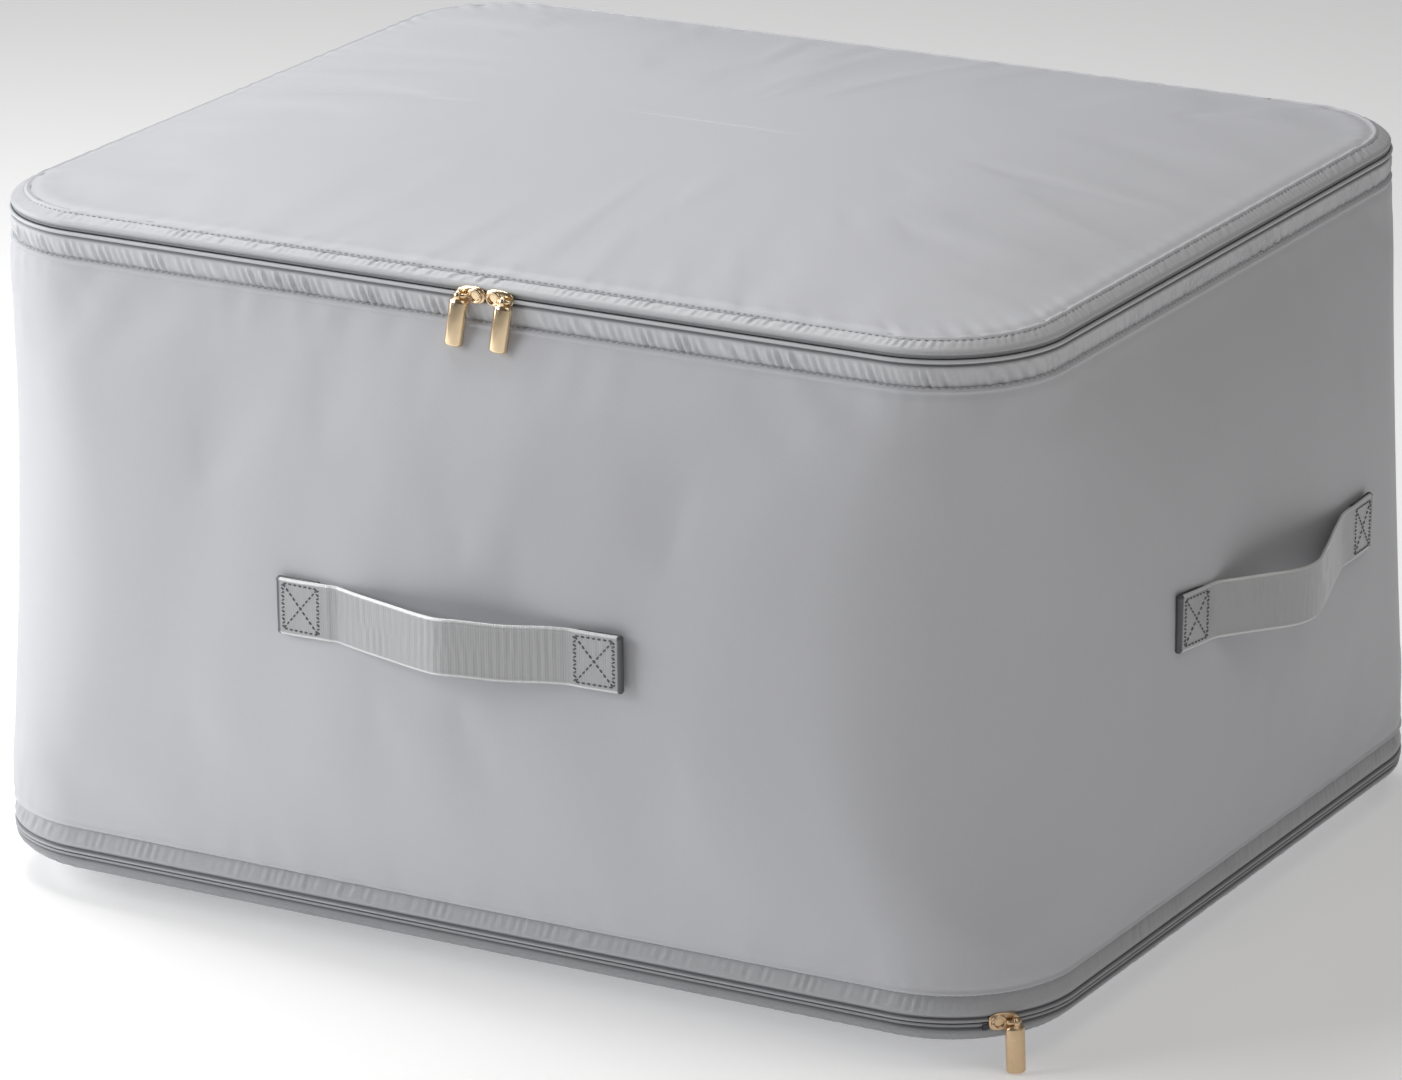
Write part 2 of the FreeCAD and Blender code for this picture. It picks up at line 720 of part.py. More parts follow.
def pull_part(label, placement, lean, swing=0.0):
    """A zip pull: a half-round bar under a knuckle that turns on the slider's arch.

    The bar swings sideways by a few degrees where the knuckle fits loosely.
    """
    body = new_body(label)
    bar = new_sketch(body, f"{label}_bar_plan", measure(0) - measure("pull_thick") / 2, "XZ_Plane")
    half = measure("pull_width") / 2
    bar_top = measure(0.5) - measure("knuckle") / 2
    across, along = math.cos(math.radians(swing)), math.sin(math.radians(swing))
    polygon(bar, [(x * across - z * along, x * along + z * across) for x, z in
                  block_corners(measure(0) - half, half, measure(0) - "pull_length", bar_top)])
    block = pad(body, bar, "pull_thick")
    rounded = fillet(body, block, 2.4, is_bottom_corner)
    fillet(body, rounded, 1.2, lambda edge: on_front_face(edge, rounded))
    knuckle = new_sketch(body, f"{label}_knuckle_plan", measure(0) - measure("knuckle_width") / 2, "YZ_Plane")
    knuckle.addGeometry([Part.Circle(Vector(0, 0, 0), up, SIZES["knuckle"] / 2),
                         Part.Circle(Vector(0, 0, 0), up, SIZES["knuckle_bore"] / 2)], False)
    relate(knuckle, ("Coincident", 0, 3, -1, 1), ("Coincident", 1, 3, -1, 1))
    dimension(knuckle, "Radius", (0,), measure("knuckle") / 2, "outer")
    dimension(knuckle, "Radius", (1,), measure("knuckle_bore") / 2, "bore")
    pad(body, knuckle, "knuckle_width")
    body.Placement = placement.multiply(Placement(Vector(), Rotation(Vector(1, 0, 0), -lean)))
    return body


def is_bottom_corner(edge):
    """True for the bar's two lower corner edges, which run front to back."""
    start, end = edge.Vertexes[0].Point, edge.Vertexes[-1].Point
    same = abs(start.x - end.x) < 0.01 and abs(start.z - end.z) < 0.01
    return same and start.z < -SIZES["pull_length"] / 2


def on_front_face(edge, feature):
    """True for an edge that lies wholly on the feature's foremost face."""
    front = feature.Shape.BoundBox.YMin
    return all(abs(vertex.Point.y - front) < 0.01 for vertex in edge.Vertexes)


def fillet(body, feature, size, test):
    """Round the edges of a feature that pass a test."""
    doc.recompute()
    chosen = [f"Edge{index}" for index, edge in enumerate(feature.Shape.Edges, start=1) if test(edge)]
    rounding = body.newObject("PartDesign::Fillet", f"{feature.Name}_round")
    rounding.Base = (feature, chosen)
    rounding.Radius = size
    return rounding


def on_front(x, outwards=0.0):
    """A place on the upper chain's front run."""
    return Placement(Vector(x, -SIZES["seam_depth"] / 2 - outwards, SIZES["seam_height"]), Rotation())


def on_foot_corner(angle, along=0.0, outwards=0.0):
    """A place on the lower chain where it rounds the front right corner."""
    radius = SIZES["foot_corner"]
    centre = Vector(SIZES["foot_width"] / 2 - radius, radius - SIZES["foot_depth"] / 2, SIZES["foot_height"])
    turn = Rotation(up, angle + 90)
    return Placement(centre + turn.multVec(Vector(along, -radius - outwards, 0)), turn)


half_slider = SIZES["slider_length"] / 2
slider_play = 0.2
pull_offset = 4.6
reach = SIZES["arch_reach"]
left_x = SIZES["zips_meet"] - half_slider - slider_play
right_x = SIZES["zips_meet"] + half_slider + slider_play
foot_angle = SIZES["foot_slider_angle"]
parts += [
    slider_part("top_left_slider", 1, on_front(left_x)),
    slider_part("top_right_slider", -1, on_front(right_x)),
    slider_part("foot_slider", -1, on_foot_corner(foot_angle)),
    pull_part("top_left_pull", on_front(left_x - pull_offset, reach), 5.0, swing=-6.0),
    pull_part("top_right_pull", on_front(right_x + pull_offset, reach), 5.0, swing=-6.0),
    pull_part("foot_pull", on_foot_corner(foot_angle, pull_offset, reach), 4.0),
]

# crimped metal stops: two at the upper zip's ends, one where the lower zip's ends meet
stops = new_body("top_zip_stops")
stop_height = measure("seam_height") - measure("chain_gap") / 2 - "coil_width"
sketch = new_sketch(stops, "stop_plan", stop_height)
near_face = measure("seam_depth") / 2 + 0.05
first = measure("hinge_half") + 2
polygon(sketch, block_corners(first, first + "stop_length", near_face, near_face + 1))
half_stop = pad(stops, sketch, "coil_width")
pair = stops.newObject("PartDesign::Mirrored", "stop_pair")
pair.Originals = [half_stop]
pair.MirrorPlane = (origin_feature(stops, "YZ_Plane"), [""])
stops.Tip = pair

foot_stop = doc.addObject("Part::Box", "foot_zip_stop")
bind(foot_stop, "Length", "stop_length")
bind(foot_stop, "Width", 1.0)
bind(foot_stop, "Height", "coil_width")
stop_along = -half_slider - SIZES["stop_length"] - 0.6
foot_stop.Placement = on_foot_corner(foot_angle, stop_along, 1.05).multiply(
    Placement(Vector(0, 0, -SIZES["chain_gap"] / 2 - SIZES["coil_width"]), Rotation()))
parts += [stops, foot_stop]

doc.recompute()

# ---------------------------------------------------------------- checks and export

problems = [item.Label for item in doc.Objects if {"Invalid", "Error"} & set(item.State)]
problems += [body.Label for body in parts if body.Shape.isNull() or not body.Shape.isValid()]
if problems:
    raise SystemExit("not built: " + ", ".join(problems))

os.makedirs("parts", exist_ok=True)
for body in parts:
    body.Shape.exportStep(f"parts/{body.Label}.step")
    box = body.Shape.BoundBox
    print(f"{body.Label}: {len(body.Shape.Solids)} solid, {body.Shape.Volume:.0f} mm3, "
          f"z {box.ZMin:.1f} to {box.ZMax:.1f}, x {box.XMax:.1f}, y {box.YMax:.1f}")
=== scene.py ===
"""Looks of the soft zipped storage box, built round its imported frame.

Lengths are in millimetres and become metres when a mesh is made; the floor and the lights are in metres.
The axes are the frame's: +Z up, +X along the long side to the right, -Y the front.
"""
import math

import bmesh
import bpy
import numpy as np
from mathutils import Matrix, Vector


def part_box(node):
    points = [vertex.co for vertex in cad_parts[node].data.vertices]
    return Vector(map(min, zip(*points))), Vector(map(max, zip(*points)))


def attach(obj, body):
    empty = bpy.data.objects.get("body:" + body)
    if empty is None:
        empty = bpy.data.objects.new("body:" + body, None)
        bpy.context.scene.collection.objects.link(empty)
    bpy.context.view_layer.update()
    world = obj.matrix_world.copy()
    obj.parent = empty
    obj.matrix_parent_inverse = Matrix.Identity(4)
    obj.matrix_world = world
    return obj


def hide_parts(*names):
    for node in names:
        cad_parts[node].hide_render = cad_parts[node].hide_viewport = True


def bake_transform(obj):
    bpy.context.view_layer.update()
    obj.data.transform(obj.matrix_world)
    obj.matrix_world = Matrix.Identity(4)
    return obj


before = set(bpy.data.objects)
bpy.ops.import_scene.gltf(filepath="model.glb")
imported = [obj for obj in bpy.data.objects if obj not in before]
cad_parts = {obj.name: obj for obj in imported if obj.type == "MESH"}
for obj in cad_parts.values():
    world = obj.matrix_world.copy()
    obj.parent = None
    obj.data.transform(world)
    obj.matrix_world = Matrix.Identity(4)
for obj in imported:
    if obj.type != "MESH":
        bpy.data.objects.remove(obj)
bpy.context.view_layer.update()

MM = 0.001
TAU = 2 * math.pi


def stacked(*values):
    """Points from one array or number for each of their coordinates."""
    return np.stack(np.broadcast_arrays(*values), -1)


def add_object(name, data):
    """A new object in the scene."""
    item = bpy.data.objects.new(name, data)
    bpy.context.scene.collection.objects.link(item)
    return item


def node_box(node):
    """Lowest and highest corner of a CAD node, in millimetres."""
    return [np.array(corner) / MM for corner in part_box(node)]


# ---- loops seen from above

class Loop:
    """A rounded rectangle walked anticlockwise by distance, from the middle of the back."""

    def __init__(self, half_x, half_y, corner, height):
        a, b = half_x - corner, half_y - corner
        self.corner, self.height = corner, height
        arc = corner * math.pi / 2
        steps = [a, arc, 2 * b, arc, 2 * a, arc, 2 * b, arc, a]
        self.breaks = np.concatenate([[0], np.cumsum(steps)])
        self.length = self.breaks[-1]
        self.angles = np.radians([90, 90, 180, 180, 270, 270, 360, 360, 450, 450])
        self.centre_x = [0, -a, -a, -a, -a, a, a, a, a, 0]
        self.centre_y = [b, b, b, -b, -b, -b, -b, b, b, b]

    def place(self, along, outwards, rise):
        """Points at a distance along the loop, outwards from it and above it."""
        along = np.mod(along, self.length)
        angle = np.interp(along, self.breaks, self.angles)
        reach = self.corner + outwards
        return stacked(np.interp(along, self.breaks, self.centre_x) + np.cos(angle) * reach,
                       np.interp(along, self.breaks, self.centre_y) + np.sin(angle) * reach,
                       self.height + rise)


CHAIN_GAP = 1.2
SEAM_CORNER, FOOT_CORNER = 66.0, 68.0
seam_high = node_box("top_tape_wall")[1]
foot_low, foot_high = node_box("foot_tape_wall")
top_loop = Loop(seam_high[0], seam_high[1], SEAM_CORNER, seam_high[2] + CHAIN_GAP / 2)
foot_loop = Loop(foot_high[0], foot_high[1], FOOT_CORNER, foot_low[2] - CHAIN_GAP / 2)
wall_low, wall_high = node_box("wall_panel")
lid_low, lid_high = node_box("lid_panel")
hinge_half = node_box("lid_hinge_strip")[1][0] + 0.5


def ripple(along, length, wave, seed, spread=0.45):
    """Smooth repeatable unevenness round a closed loop, about -1 to 1."""
    draw = np.random.default_rng(seed)
    total = np.zeros_like(along, dtype=float)
    count = 14
    for turns in draw.uniform(1 - spread, 1 + spread, count) * length / wave:
        total += np.sin(TAU * max(1, round(turns)) * along / length + draw.uniform(0, TAU))
    return total / math.sqrt(count)


def smooth(value, low, high):
    """0 up to low, 1 from high on, and an even curve between them."""
    share = np.clip((value - low) / (high - low), 0, 1)
    return share * share * (3 - 2 * share)


def unit(vectors):
    """Each row of vectors brought to length 1."""
    return vectors / np.linalg.norm(vectors, axis=1)[:, None]


def walked(points):
    """Distance walked along a line of points, from 0 at the first."""
    return np.concatenate([[0], np.cumsum(np.linalg.norm(np.diff(points, axis=0), axis=1))])


def round_distance(outline):
    """Distance walked round a closed outline at each point, and once all the way round."""
    reach = walked(np.concatenate([outline, outline[:1]]))
    return reach[:-1], reach[-1]


def read_at(places, reach, points):
    """Points read at places along a line whose own points lie at reach."""
    return stacked(*(np.interp(places, reach, column) for column in points.T))


def full_turn(count):
    """Even angles once round."""
    return TAU * np.arange(count) / count


# ---- meshes

def make_piece(name, points, faces, material, uv=None, shade=None):
    """One mesh object. uv is millimetres along the cloth; shade is painted shade in its colour, 0 to 1."""
    mesh = bpy.data.meshes.new(name)
    flat = np.asarray(points, float).reshape(-1, 3) * MM
    mesh.from_pydata(flat.tolist(), [], faces)
    mesh.polygons.foreach_set("use_smooth", [len(face) <= 4 for face in faces])
    if uv is not None:
        layer = mesh.uv_layers.new(name="Cloth")
        corner_points = np.empty(len(mesh.loops), np.int32)
        mesh.loops.foreach_get("vertex_index", corner_points)
        layer.data.foreach_set("uv", (np.asarray(uv).reshape(-1, 2) * MM)[corner_points].ravel())
    # painted shade: each point's shade value is stored for the material to darken the colour with
    if shade is not None:
        attribute = mesh.attributes.new("painted_shade", "FLOAT", "POINT")
        attribute.data.foreach_set("value", np.asarray(shade, np.float32).ravel())
    mesh.materials.append(material)
    work = bmesh.new()
    work.from_mesh(mesh)
    bmesh.ops.recalc_face_normals(work, faces=work.faces)
    work.to_mesh(mesh)
    work.free()
    return add_object(name, mesh)


def squared(wave, power):
    """A sine or cosine whose power below 1 turns a circle into a rounded square."""
    return np.sign(wave) * np.abs(wave) ** power


def grid_faces(rows, columns, wrap_rows=False, start=0):
    """Quads of a grid of points stored row by row; each row closes on itself."""
    row = np.arange(rows if wrap_rows else rows - 1)
    r, c = [item.ravel() for item in np.meshgrid(row, np.arange(columns), indexing="ij")]
    r2, c2 = (r + 1) % rows, (c + 1) % columns
    quads = stacked(r * columns + c, r * columns + c2, r2 * columns + c2, r2 * columns + c)
    return (quads + start).tolist()


def end_faces(rows, columns, start=0):
    """The two faces that close such a grid at its first and last rows."""
    first = [start + column for column in range(columns)]
    return [first, [index + (rows - 1) * columns for index in reversed(first)]]


def placed(piece, body, node_name):
    """A piece that rides on a body and is shown in a CAD node's stead."""
    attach(piece, body)
    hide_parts(node_name)
    return piece


def sweep(name, loop, profile, material, step, push, span=None, shade=None):
    """A band along a loop with one closed cross-section of (outwards, rise) points.

    push gives how far each point moves outwards, by distance along and index in the section.
    """
    closed = span is None
    start, end = (0, loop.length) if closed else span
    count = int(round((end - start) / step))
    s = (start + (end - start) * np.arange(count + (0 if closed else 1)) / count)[:, None]
    size = (len(s), len(profile))
    outwards = profile[:, 0] + push(s, np.arange(len(profile))[None, :])
    faces = grid_faces(*size, wrap_rows=closed)
    if not closed:
        faces += end_faces(*size)
    uv = stacked(s, walked(profile))
    tone = None if shade is None else np.broadcast_to(shade, size)
    return make_piece(name, loop.place(s, outwards, profile[:, 1]), faces, material, uv=uv, shade=tone)


def strip_profile(outer, thickness):
    """Closed cross-section of a thin tape from the (outwards, rise) points of its outer face."""
    direction = unit(np.gradient(outer, axis=0))
    inwards = stacked(direction[:, 1], -direction[:, 0])
    if inwards[len(outer) // 2, 0] > 0:
        inwards = -inwards
    return np.concatenate([outer, (outer + inwards * thickness)[::-1]])


def curve_through(points, count):
    """A smooth curve through a few points, resampled evenly."""
    points = np.asarray(points, float)
    reach = walked(points)
    slope = np.gradient(points, reach, axis=0)
    fine = np.linspace(0, reach[-1], count)
    index = np.clip(np.searchsorted(reach, fine, side="right") - 1, 0, len(points) - 2)
    width = reach[index + 1] - reach[index]
    t = ((fine - reach[index]) / width)[:, None]
    w = width[:, None]
    return ((2 * t**3 - 3 * t**2 + 1) * points[index] + (t**3 - 2 * t**2 + t) * w * slope[index]
            + (3 * t**2 - 2 * t**3) * points[index + 1] + (t**3 - t**2) * w * slope[index + 1])


# ---- materials

SHEEN_ROUGHNESS = 0.45
FIBRE_SCALE, DRIFT_SCALE = 900, 9
# A pale colour that paints highlights on the webbing's edges, and the dark colour of painted shade
EDGE_HIGHLIGHT_COLOUR, PAINTED_SHADE_COLOUR = (0.74, 0.75, 0.76), (0.07, 0.073, 0.08)


def node(tree, kind, **settings):
    """A new shader node with its properties set."""
    item = tree.nodes.new(f"ShaderNode{kind}")
    for key, value in settings.items():
        setattr(item, key, value)
    return item


def new_material(name, colour, roughness, metallic=0.0, sheen=0.0, specular=0.5):
    """A material; returns it, its node tree and its shader node."""
    material = bpy.data.materials.new(name)
    material.use_nodes = True
    shader = material.node_tree.nodes["Principled BSDF"]
    shader.inputs["Base Color"].default_value = (*colour, 1)
    shader.inputs["Roughness"].default_value = roughness
    shader.inputs["Metallic"].default_value = metallic
    shader.inputs["Specular IOR Level"].default_value = specular
    shader.inputs["Sheen Weight"].default_value = sheen
    shader.inputs["Sheen Roughness"].default_value = SHEEN_ROUGHNESS
    return material, material.node_tree, shader


def mixed_colour(tree, low, high, factor):
    """Between low, which is a colour or a socket, and the colour high, by a factor socket."""
    item = node(tree, "Mix", data_type="RGBA")
    if isinstance(low, (list, tuple)):
        item.inputs["A"].default_value = (*low, 1)
    else:
        tree.links.new(low, item.inputs["A"])
    item.inputs["B"].default_value = (*high, 1)
    tree.links.new(factor, item.inputs["Factor"])
    return item.outputs["Result"]


def map_range(tree, value, end, low, high):
    """A value socket carried between ranges, with the range at one end, From or To, given."""
    item = node(tree, "MapRange")
    item.inputs[f"{end} Min"].default_value = low
    item.inputs[f"{end} Max"].default_value = high
    tree.links.new(value, item.inputs["Value"])
    return item.outputs["Result"]


def maths(tree, operation, first, second):
    """One operation on two values, each a number or a socket."""
    item = node(tree, "Math", operation=operation)
    for socket, value in zip(item.inputs, (first, second)):
        if isinstance(value, (int, float)):
            socket.default_value = value
        else:
            tree.links.new(value, socket)
    return item.outputs[0]


def noise(tree, scale, detail):
    """Fine unevenness all through an object."""
    item = node(tree, "TexNoise")
    item.inputs["Scale"].default_value = scale
    item.inputs["Detail"].default_value = detail
    tree.links.new(node(tree, "TexCoord").outputs["Object"], item.inputs["Vector"])
    return item.outputs["Fac"]


def bands(tree, vector, direction, period):
    """Even ridges across one direction of the cloth, period in millimetres."""
    item = node(tree, "TexWave", wave_type="BANDS", bands_direction=direction)
    item.inputs["Scale"].default_value = TAU / 20 / (period * MM)
    tree.links.new(vector, item.inputs["Vector"])
    return item.outputs["Fac"]


def add_bump(tree, shader, height, distance, strength=1.0, below=None):
    """Relief on a shader, on top of the relief below it."""
    bump = node(tree, "Bump")
    bump.inputs["Distance"].default_value = distance * MM
    bump.inputs["Strength"].default_value = strength
    tree.links.new(height, bump.inputs["Height"])
    if below is not None:
        tree.links.new(below.outputs["Normal"], bump.inputs["Normal"])
    tree.links.new(bump.outputs["Normal"], shader.inputs["Normal"])
    return bump


def cloth(name, colour, roughness, thread, relief, sheen=0.0, specular=0.4, variation=0.06,
          ribs=None, with_painted_shade=False, selvedge=None, lustre=0.0):
    """Woven cloth: crossed threads at a period, fibre noise and a slow drift of colour.

    Optional: ribs across it, painted shade from each point's shade value, pale edges beyond a distance from
    its middle line that paint highlights, and a metallic lustre.
    """
    material, tree, shader = new_material(name, colour, roughness, lustre, sheen, specular)
    uv = node(tree, "UVMap", uv_map="Cloth").outputs["UV"]
    threads = maths(tree, "ADD", bands(tree, uv, "X", thread), bands(tree, uv, "Y", thread))
    weave = maths(tree, "MULTIPLY", threads, 0.5)
    fibre, drift = noise(tree, FIBRE_SCALE, 3), noise(tree, DRIFT_SCALE, 3)
    grain = maths(tree, "ADD", maths(tree, "MULTIPLY", fibre, 0.55), maths(tree, "MULTIPLY", drift, 0.45))
    dark = [channel * (1 - variation) for channel in colour]
    light = [min(1, channel * (1 + variation)) for channel in colour]
    tone = mixed_colour(tree, dark, light, grain)
    # painted highlight: the webbing's edges are coloured paler, standing in for the highlights along them
    if selvedge:
        split = node(tree, "SeparateXYZ")
        tree.links.new(uv, split.inputs["Vector"])
        from_middle = maths(tree, "ABSOLUTE", split.outputs["Y"], 0.0)
        edge = map_range(tree, from_middle, "From", (selvedge - 0.6) * MM, selvedge * MM)
        tone = mixed_colour(tree, tone, EDGE_HIGHLIGHT_COLOUR, edge)
    # painted shade: the colour darkens by each point's shade value, in the zip's grooves, on the foot tapes
    # and strap folds
    if with_painted_shade:
        painted_shade = node(tree, "Attribute", attribute_name="painted_shade").outputs["Fac"]
        tone = mixed_colour(tree, tone, PAINTED_SHADE_COLOUR, painted_shade)
    tree.links.new(tone, shader.inputs["Base Color"])
    rough = map_range(tree, fibre, "To", roughness - 0.06, roughness + 0.06)
    tree.links.new(rough, shader.inputs["Roughness"])
    below = add_bump(tree, shader, fibre, relief, 0.5)
    below = add_bump(tree, shader, weave, relief, 1.0, below)
    if ribs:
        add_bump(tree, shader, bands(tree, uv, "X", ribs), relief * 2, 0.8, below)
    return material


def metal(name, colour, roughness, scratch):
    """Metal with slightly worn patches and fine scratches."""
    material, tree, shader = new_material(name, colour, roughness, metallic=1.0)
    wear, fine = noise(tree, 260, 4), noise(tree, 1400, 2)
    dark = [channel * 0.86 for channel in colour]
    tree.links.new(mixed_colour(tree, dark, colour, wear), shader.inputs["Base Color"])
    tree.links.new(map_range(tree, wear, "To", roughness * 0.6, roughness * 1.5), shader.inputs["Roughness"])
    add_bump(tree, shader, fine, scratch)
    return material


def nylon(name, colour, roughness):
    """Dark glossy thread with paler flecks."""
    material, tree, shader = new_material(name, colour, roughness, specular=0.6)
    fleck = noise(tree, 700, 2)
    light = [channel * 1.35 for channel in colour]
    tree.links.new(mixed_colour(tree, colour, light, fleck), shader.inputs["Base Color"])
    add_bump(tree, shader, fleck, 0.05)
    return material


shell_cloth = cloth("shell_cloth", (0.537, 0.543, 0.572), 0.52, 0.55, 0.04, sheen=0.05, variation=0.05)
lining_cloth = cloth("lining_cloth", (0.62, 0.63, 0.645), 0.62, 0.7, 0.05, specular=0.3)
tape_cloth = cloth("tape_cloth", (0.57, 0.578, 0.602), 0.42, 0.8, 0.06, specular=0.5, with_painted_shade=True)
foam_sheet = cloth("foam_sheet", (0.80, 0.79, 0.76), 0.85, 1.4, 0.15, specular=0.15)
binding_cloth = cloth("binding_cloth", (0.40, 0.41, 0.43), 0.5, 0.7, 0.08)
# webbing with painted shade at its folded ends and painted highlights along its edges
webbing = cloth("webbing", (0.395, 0.40, 0.41), 0.32, 0.6, 0.05, specular=1.0, variation=0.1, ribs=1.3,
                with_painted_shade=True, selvedge=13.9, lustre=0.2)
thread_mid = cloth("thread_mid", (0.35, 0.355, 0.365), 0.4, 0.3, 0.03, specular=0.5)
thread_dark = cloth("thread_dark", (0.12, 0.125, 0.135), 0.4, 0.3, 0.03, specular=0.5)
coil_nylon = nylon("coil_nylon", (0.24, 0.25, 0.265), 0.38)
gold_bright = metal("gold_bright", (0.90, 0.70, 0.46), 0.14, 0.006)
gold_soft = metal("gold_soft", (0.78, 0.57, 0.36), 0.30, 0.012)
stop_metal = metal("stop_metal", (0.08, 0.08, 0.09), 0.35, 0.01)


# ---- the stuffed walls

BELLY_CORNER, BULGE_FRONT, BULGE_SIDE = 137.0, 29.0, 28.0
FULLNESS, CORNER_LAG, WALL_SETBACK = 2.46, 1.7, 1.3
LEAST_BOW, SETTLE_FRAMES = 0.02, 20
STEPS_X, STEPS_Y, STEPS_CORNER = 120, 100, 36
wall_middle = (wall_low[2] + wall_high[2]) / 2
wall_reach = (wall_high[2] - wall_low[2]) / 2


def mix(first, second, share):
    """A share of the way from first to second."""
    return first * (1 - share) + second * share


def bowed_outline(half_x, half_y, corner, bow_front, bow_side):
    """Closed outline with bowed sides, anticlockwise from the middle of the back: points, normals."""
    bow_front, bow_side = max(bow_front, LEAST_BOW), max(bow_side, LEAST_BOW)
    front_radius = half_x**2 / (2 * bow_front) + bow_front / 2
    side_radius = half_y**2 / (2 * bow_side) + bow_side / 2
    front_centre = front_radius - half_y - bow_front
    side_centre = side_radius - half_x - bow_side
    apart = np.array([-side_centre, -front_centre])
    distance = np.linalg.norm(apart)
    near, far = front_radius - corner, side_radius - corner
    reach = (near**2 - far**2 + distance**2) / (2 * distance)
    across = math.sqrt(near**2 - reach**2)
    ahead = apart / distance
    sideways = across * np.array([ahead[1], -ahead[0]])
    options = [np.array([0, front_centre]) + ahead * reach + sign * sideways for sign in (-1, 1)]
    x, y = max(options, key=lambda point: point[0] - point[1])
    lean_front = math.atan2(x, front_centre - y)
    lean_side = math.atan2(-y, x + side_centre)
    quarter = math.pi / 2
    arcs = [
        (quarter, quarter + lean_front, (0, -front_centre), front_radius, STEPS_X // 2),
        (quarter + lean_front, 2 * quarter - lean_side, (-x, -y), corner, STEPS_CORNER),
        (2 * quarter - lean_side, 2 * quarter + lean_side, (side_centre, 0), side_radius, STEPS_Y),
        (2 * quarter + lean_side, 3 * quarter - lean_front, (-x, y), corner, STEPS_CORNER),
        (3 * quarter - lean_front, 3 * quarter + lean_front, (0, front_centre), front_radius, STEPS_X),
        (3 * quarter + lean_front, 4 * quarter - lean_side, (x, y), corner, STEPS_CORNER),
        (-lean_side, lean_side, (-side_centre, 0), side_radius, STEPS_Y),
        (lean_side, quarter - lean_front, (x, -y), corner, STEPS_CORNER),
        (quarter - lean_front, quarter, (0, -front_centre), front_radius, STEPS_X // 2),
    ]
    angle = np.concatenate([begin + (end - begin) * np.arange(steps) / steps
                            for begin, end, _, _, steps in arcs])
    normals = stacked(np.cos(angle), np.sin(angle))
    _, _, centres, radii, steps = zip(*arcs)
    return np.repeat(centres, steps, axis=0) + normals * np.repeat(radii, steps)[:, None], normals


def wall_outline(height):
    """The wall's outer face at one height: points, normals."""
    level = np.clip((height - wall_middle) / wall_reach, -1, 1)
    share = (level + 1) / 2
    fullness = 1 - abs(level) ** FULLNESS
    half_x = mix(foot_high[0], seam_high[0], share) - WALL_SETBACK
    half_y = mix(foot_high[1], seam_high[1], share) - WALL_SETBACK
    corner = mix(FOOT_CORNER, SEAM_CORNER, share)
    corner = mix(corner, BELLY_CORNER, fullness**CORNER_LAG) - WALL_SETBACK
    return bowed_outline(half_x, half_y, corner, BULGE_FRONT * fullness, BULGE_SIDE * fullness)


EDGE_ROWS = (0.0, 0.35, 0.8, 1.4, 2.0, 2.7, 3.4, 4.2, 5.5, 7.0, 9.0, 11.5, 15.0, 19.0)
middle_rows = np.linspace(24, 2 * wall_reach - 24, 56)
wall_rows = np.concatenate([EDGE_ROWS, middle_rows, 2 * wall_reach - np.array(EDGE_ROWS[::-1])])


def hem(distance):
    """How far a turned edge stands proud, by distance from its fold: puffed, with a stitched groove."""
    puff = 0.8 * np.exp(-(distance / 10) ** 3)
    fold = -0.9 * np.exp(-(distance / 0.5) ** 2)
    rim = 1.0 * np.exp(-((distance - 1.5) / 0.8) ** 2)
    groove = -0.25 * np.exp(-((distance - 3.8) / 0.9) ** 2)
    return puff + fold + rim + groove


def wall_grid(rows):
    """Points and level normals of the walls, one row for each height above the wall's foot."""
    points, normals = [], []
    for row in rows:
        flat, normal = wall_outline(wall_low[2] + row)
        points.append(np.column_stack([flat, np.full(len(flat), wall_low[2] + row)]))
        normals.append(np.column_stack([normal, np.zeros(len(flat))]))
    return np.array(points), np.array(normals)


def relax(name, grid, pinned, pressure, more_faces=()):
    """Cloth pressed from inside: how far each point of a grid settles."""
    faces = grid_faces(*grid.shape[:2]) + list(more_faces)
    piece = make_piece(name, grid, faces, lining_cloth)
    piece.vertex_groups.new(name="pinned").add(pinned, 1.0, "REPLACE")
    settings = piece.modifiers.new("Cloth", "CLOTH").settings
    settings.quality = 5
    settings.mass = 0.3
    settings.tension_stiffness = 25
    settings.compression_stiffness = 20
    settings.shear_stiffness = 8
    settings.bending_stiffness = 1.2
    settings.use_pressure = True
    settings.uniform_pressure_force = pressure
    settings.shrink_min = -0.012
    settings.effector_weights.gravity = 0
    settings.vertex_group_mass = "pinned"
    scene = bpy.context.scene
    for step in range(1, SETTLE_FRAMES + 1):
        scene.frame_set(step)
    shape = piece.evaluated_get(bpy.context.evaluated_depsgraph_get())
    settled = np.empty(len(piece.data.vertices) * 3)
    shape.data.vertices.foreach_get("co", settled)
    scene.frame_set(1)
    bpy.data.objects.remove(piece)
    return settled.reshape(grid.shape) / MM - grid


def blur(values, passes):
    """Evens a grid of values out round its rows and along its columns."""
    for _ in range(passes):
        values = (np.roll(values, 1, 1) + 2 * values + np.roll(values, -1, 1)) / 4
        padded = np.concatenate([values[:1], values, values[-1:]])
        values = (padded[:-2] + 2 * values + padded[2:]) / 4
    return values


def kept_share(moved, passes, cap, share):
    """A share of how far points moved, without its even swell and softly capped."""
    moved = moved - blur(moved, passes)
    size = np.linalg.norm(moved, axis=-1, keepdims=True)
    return share * (moved * (cap * np.tanh(size / cap) / np.maximum(size, 1e-9)))


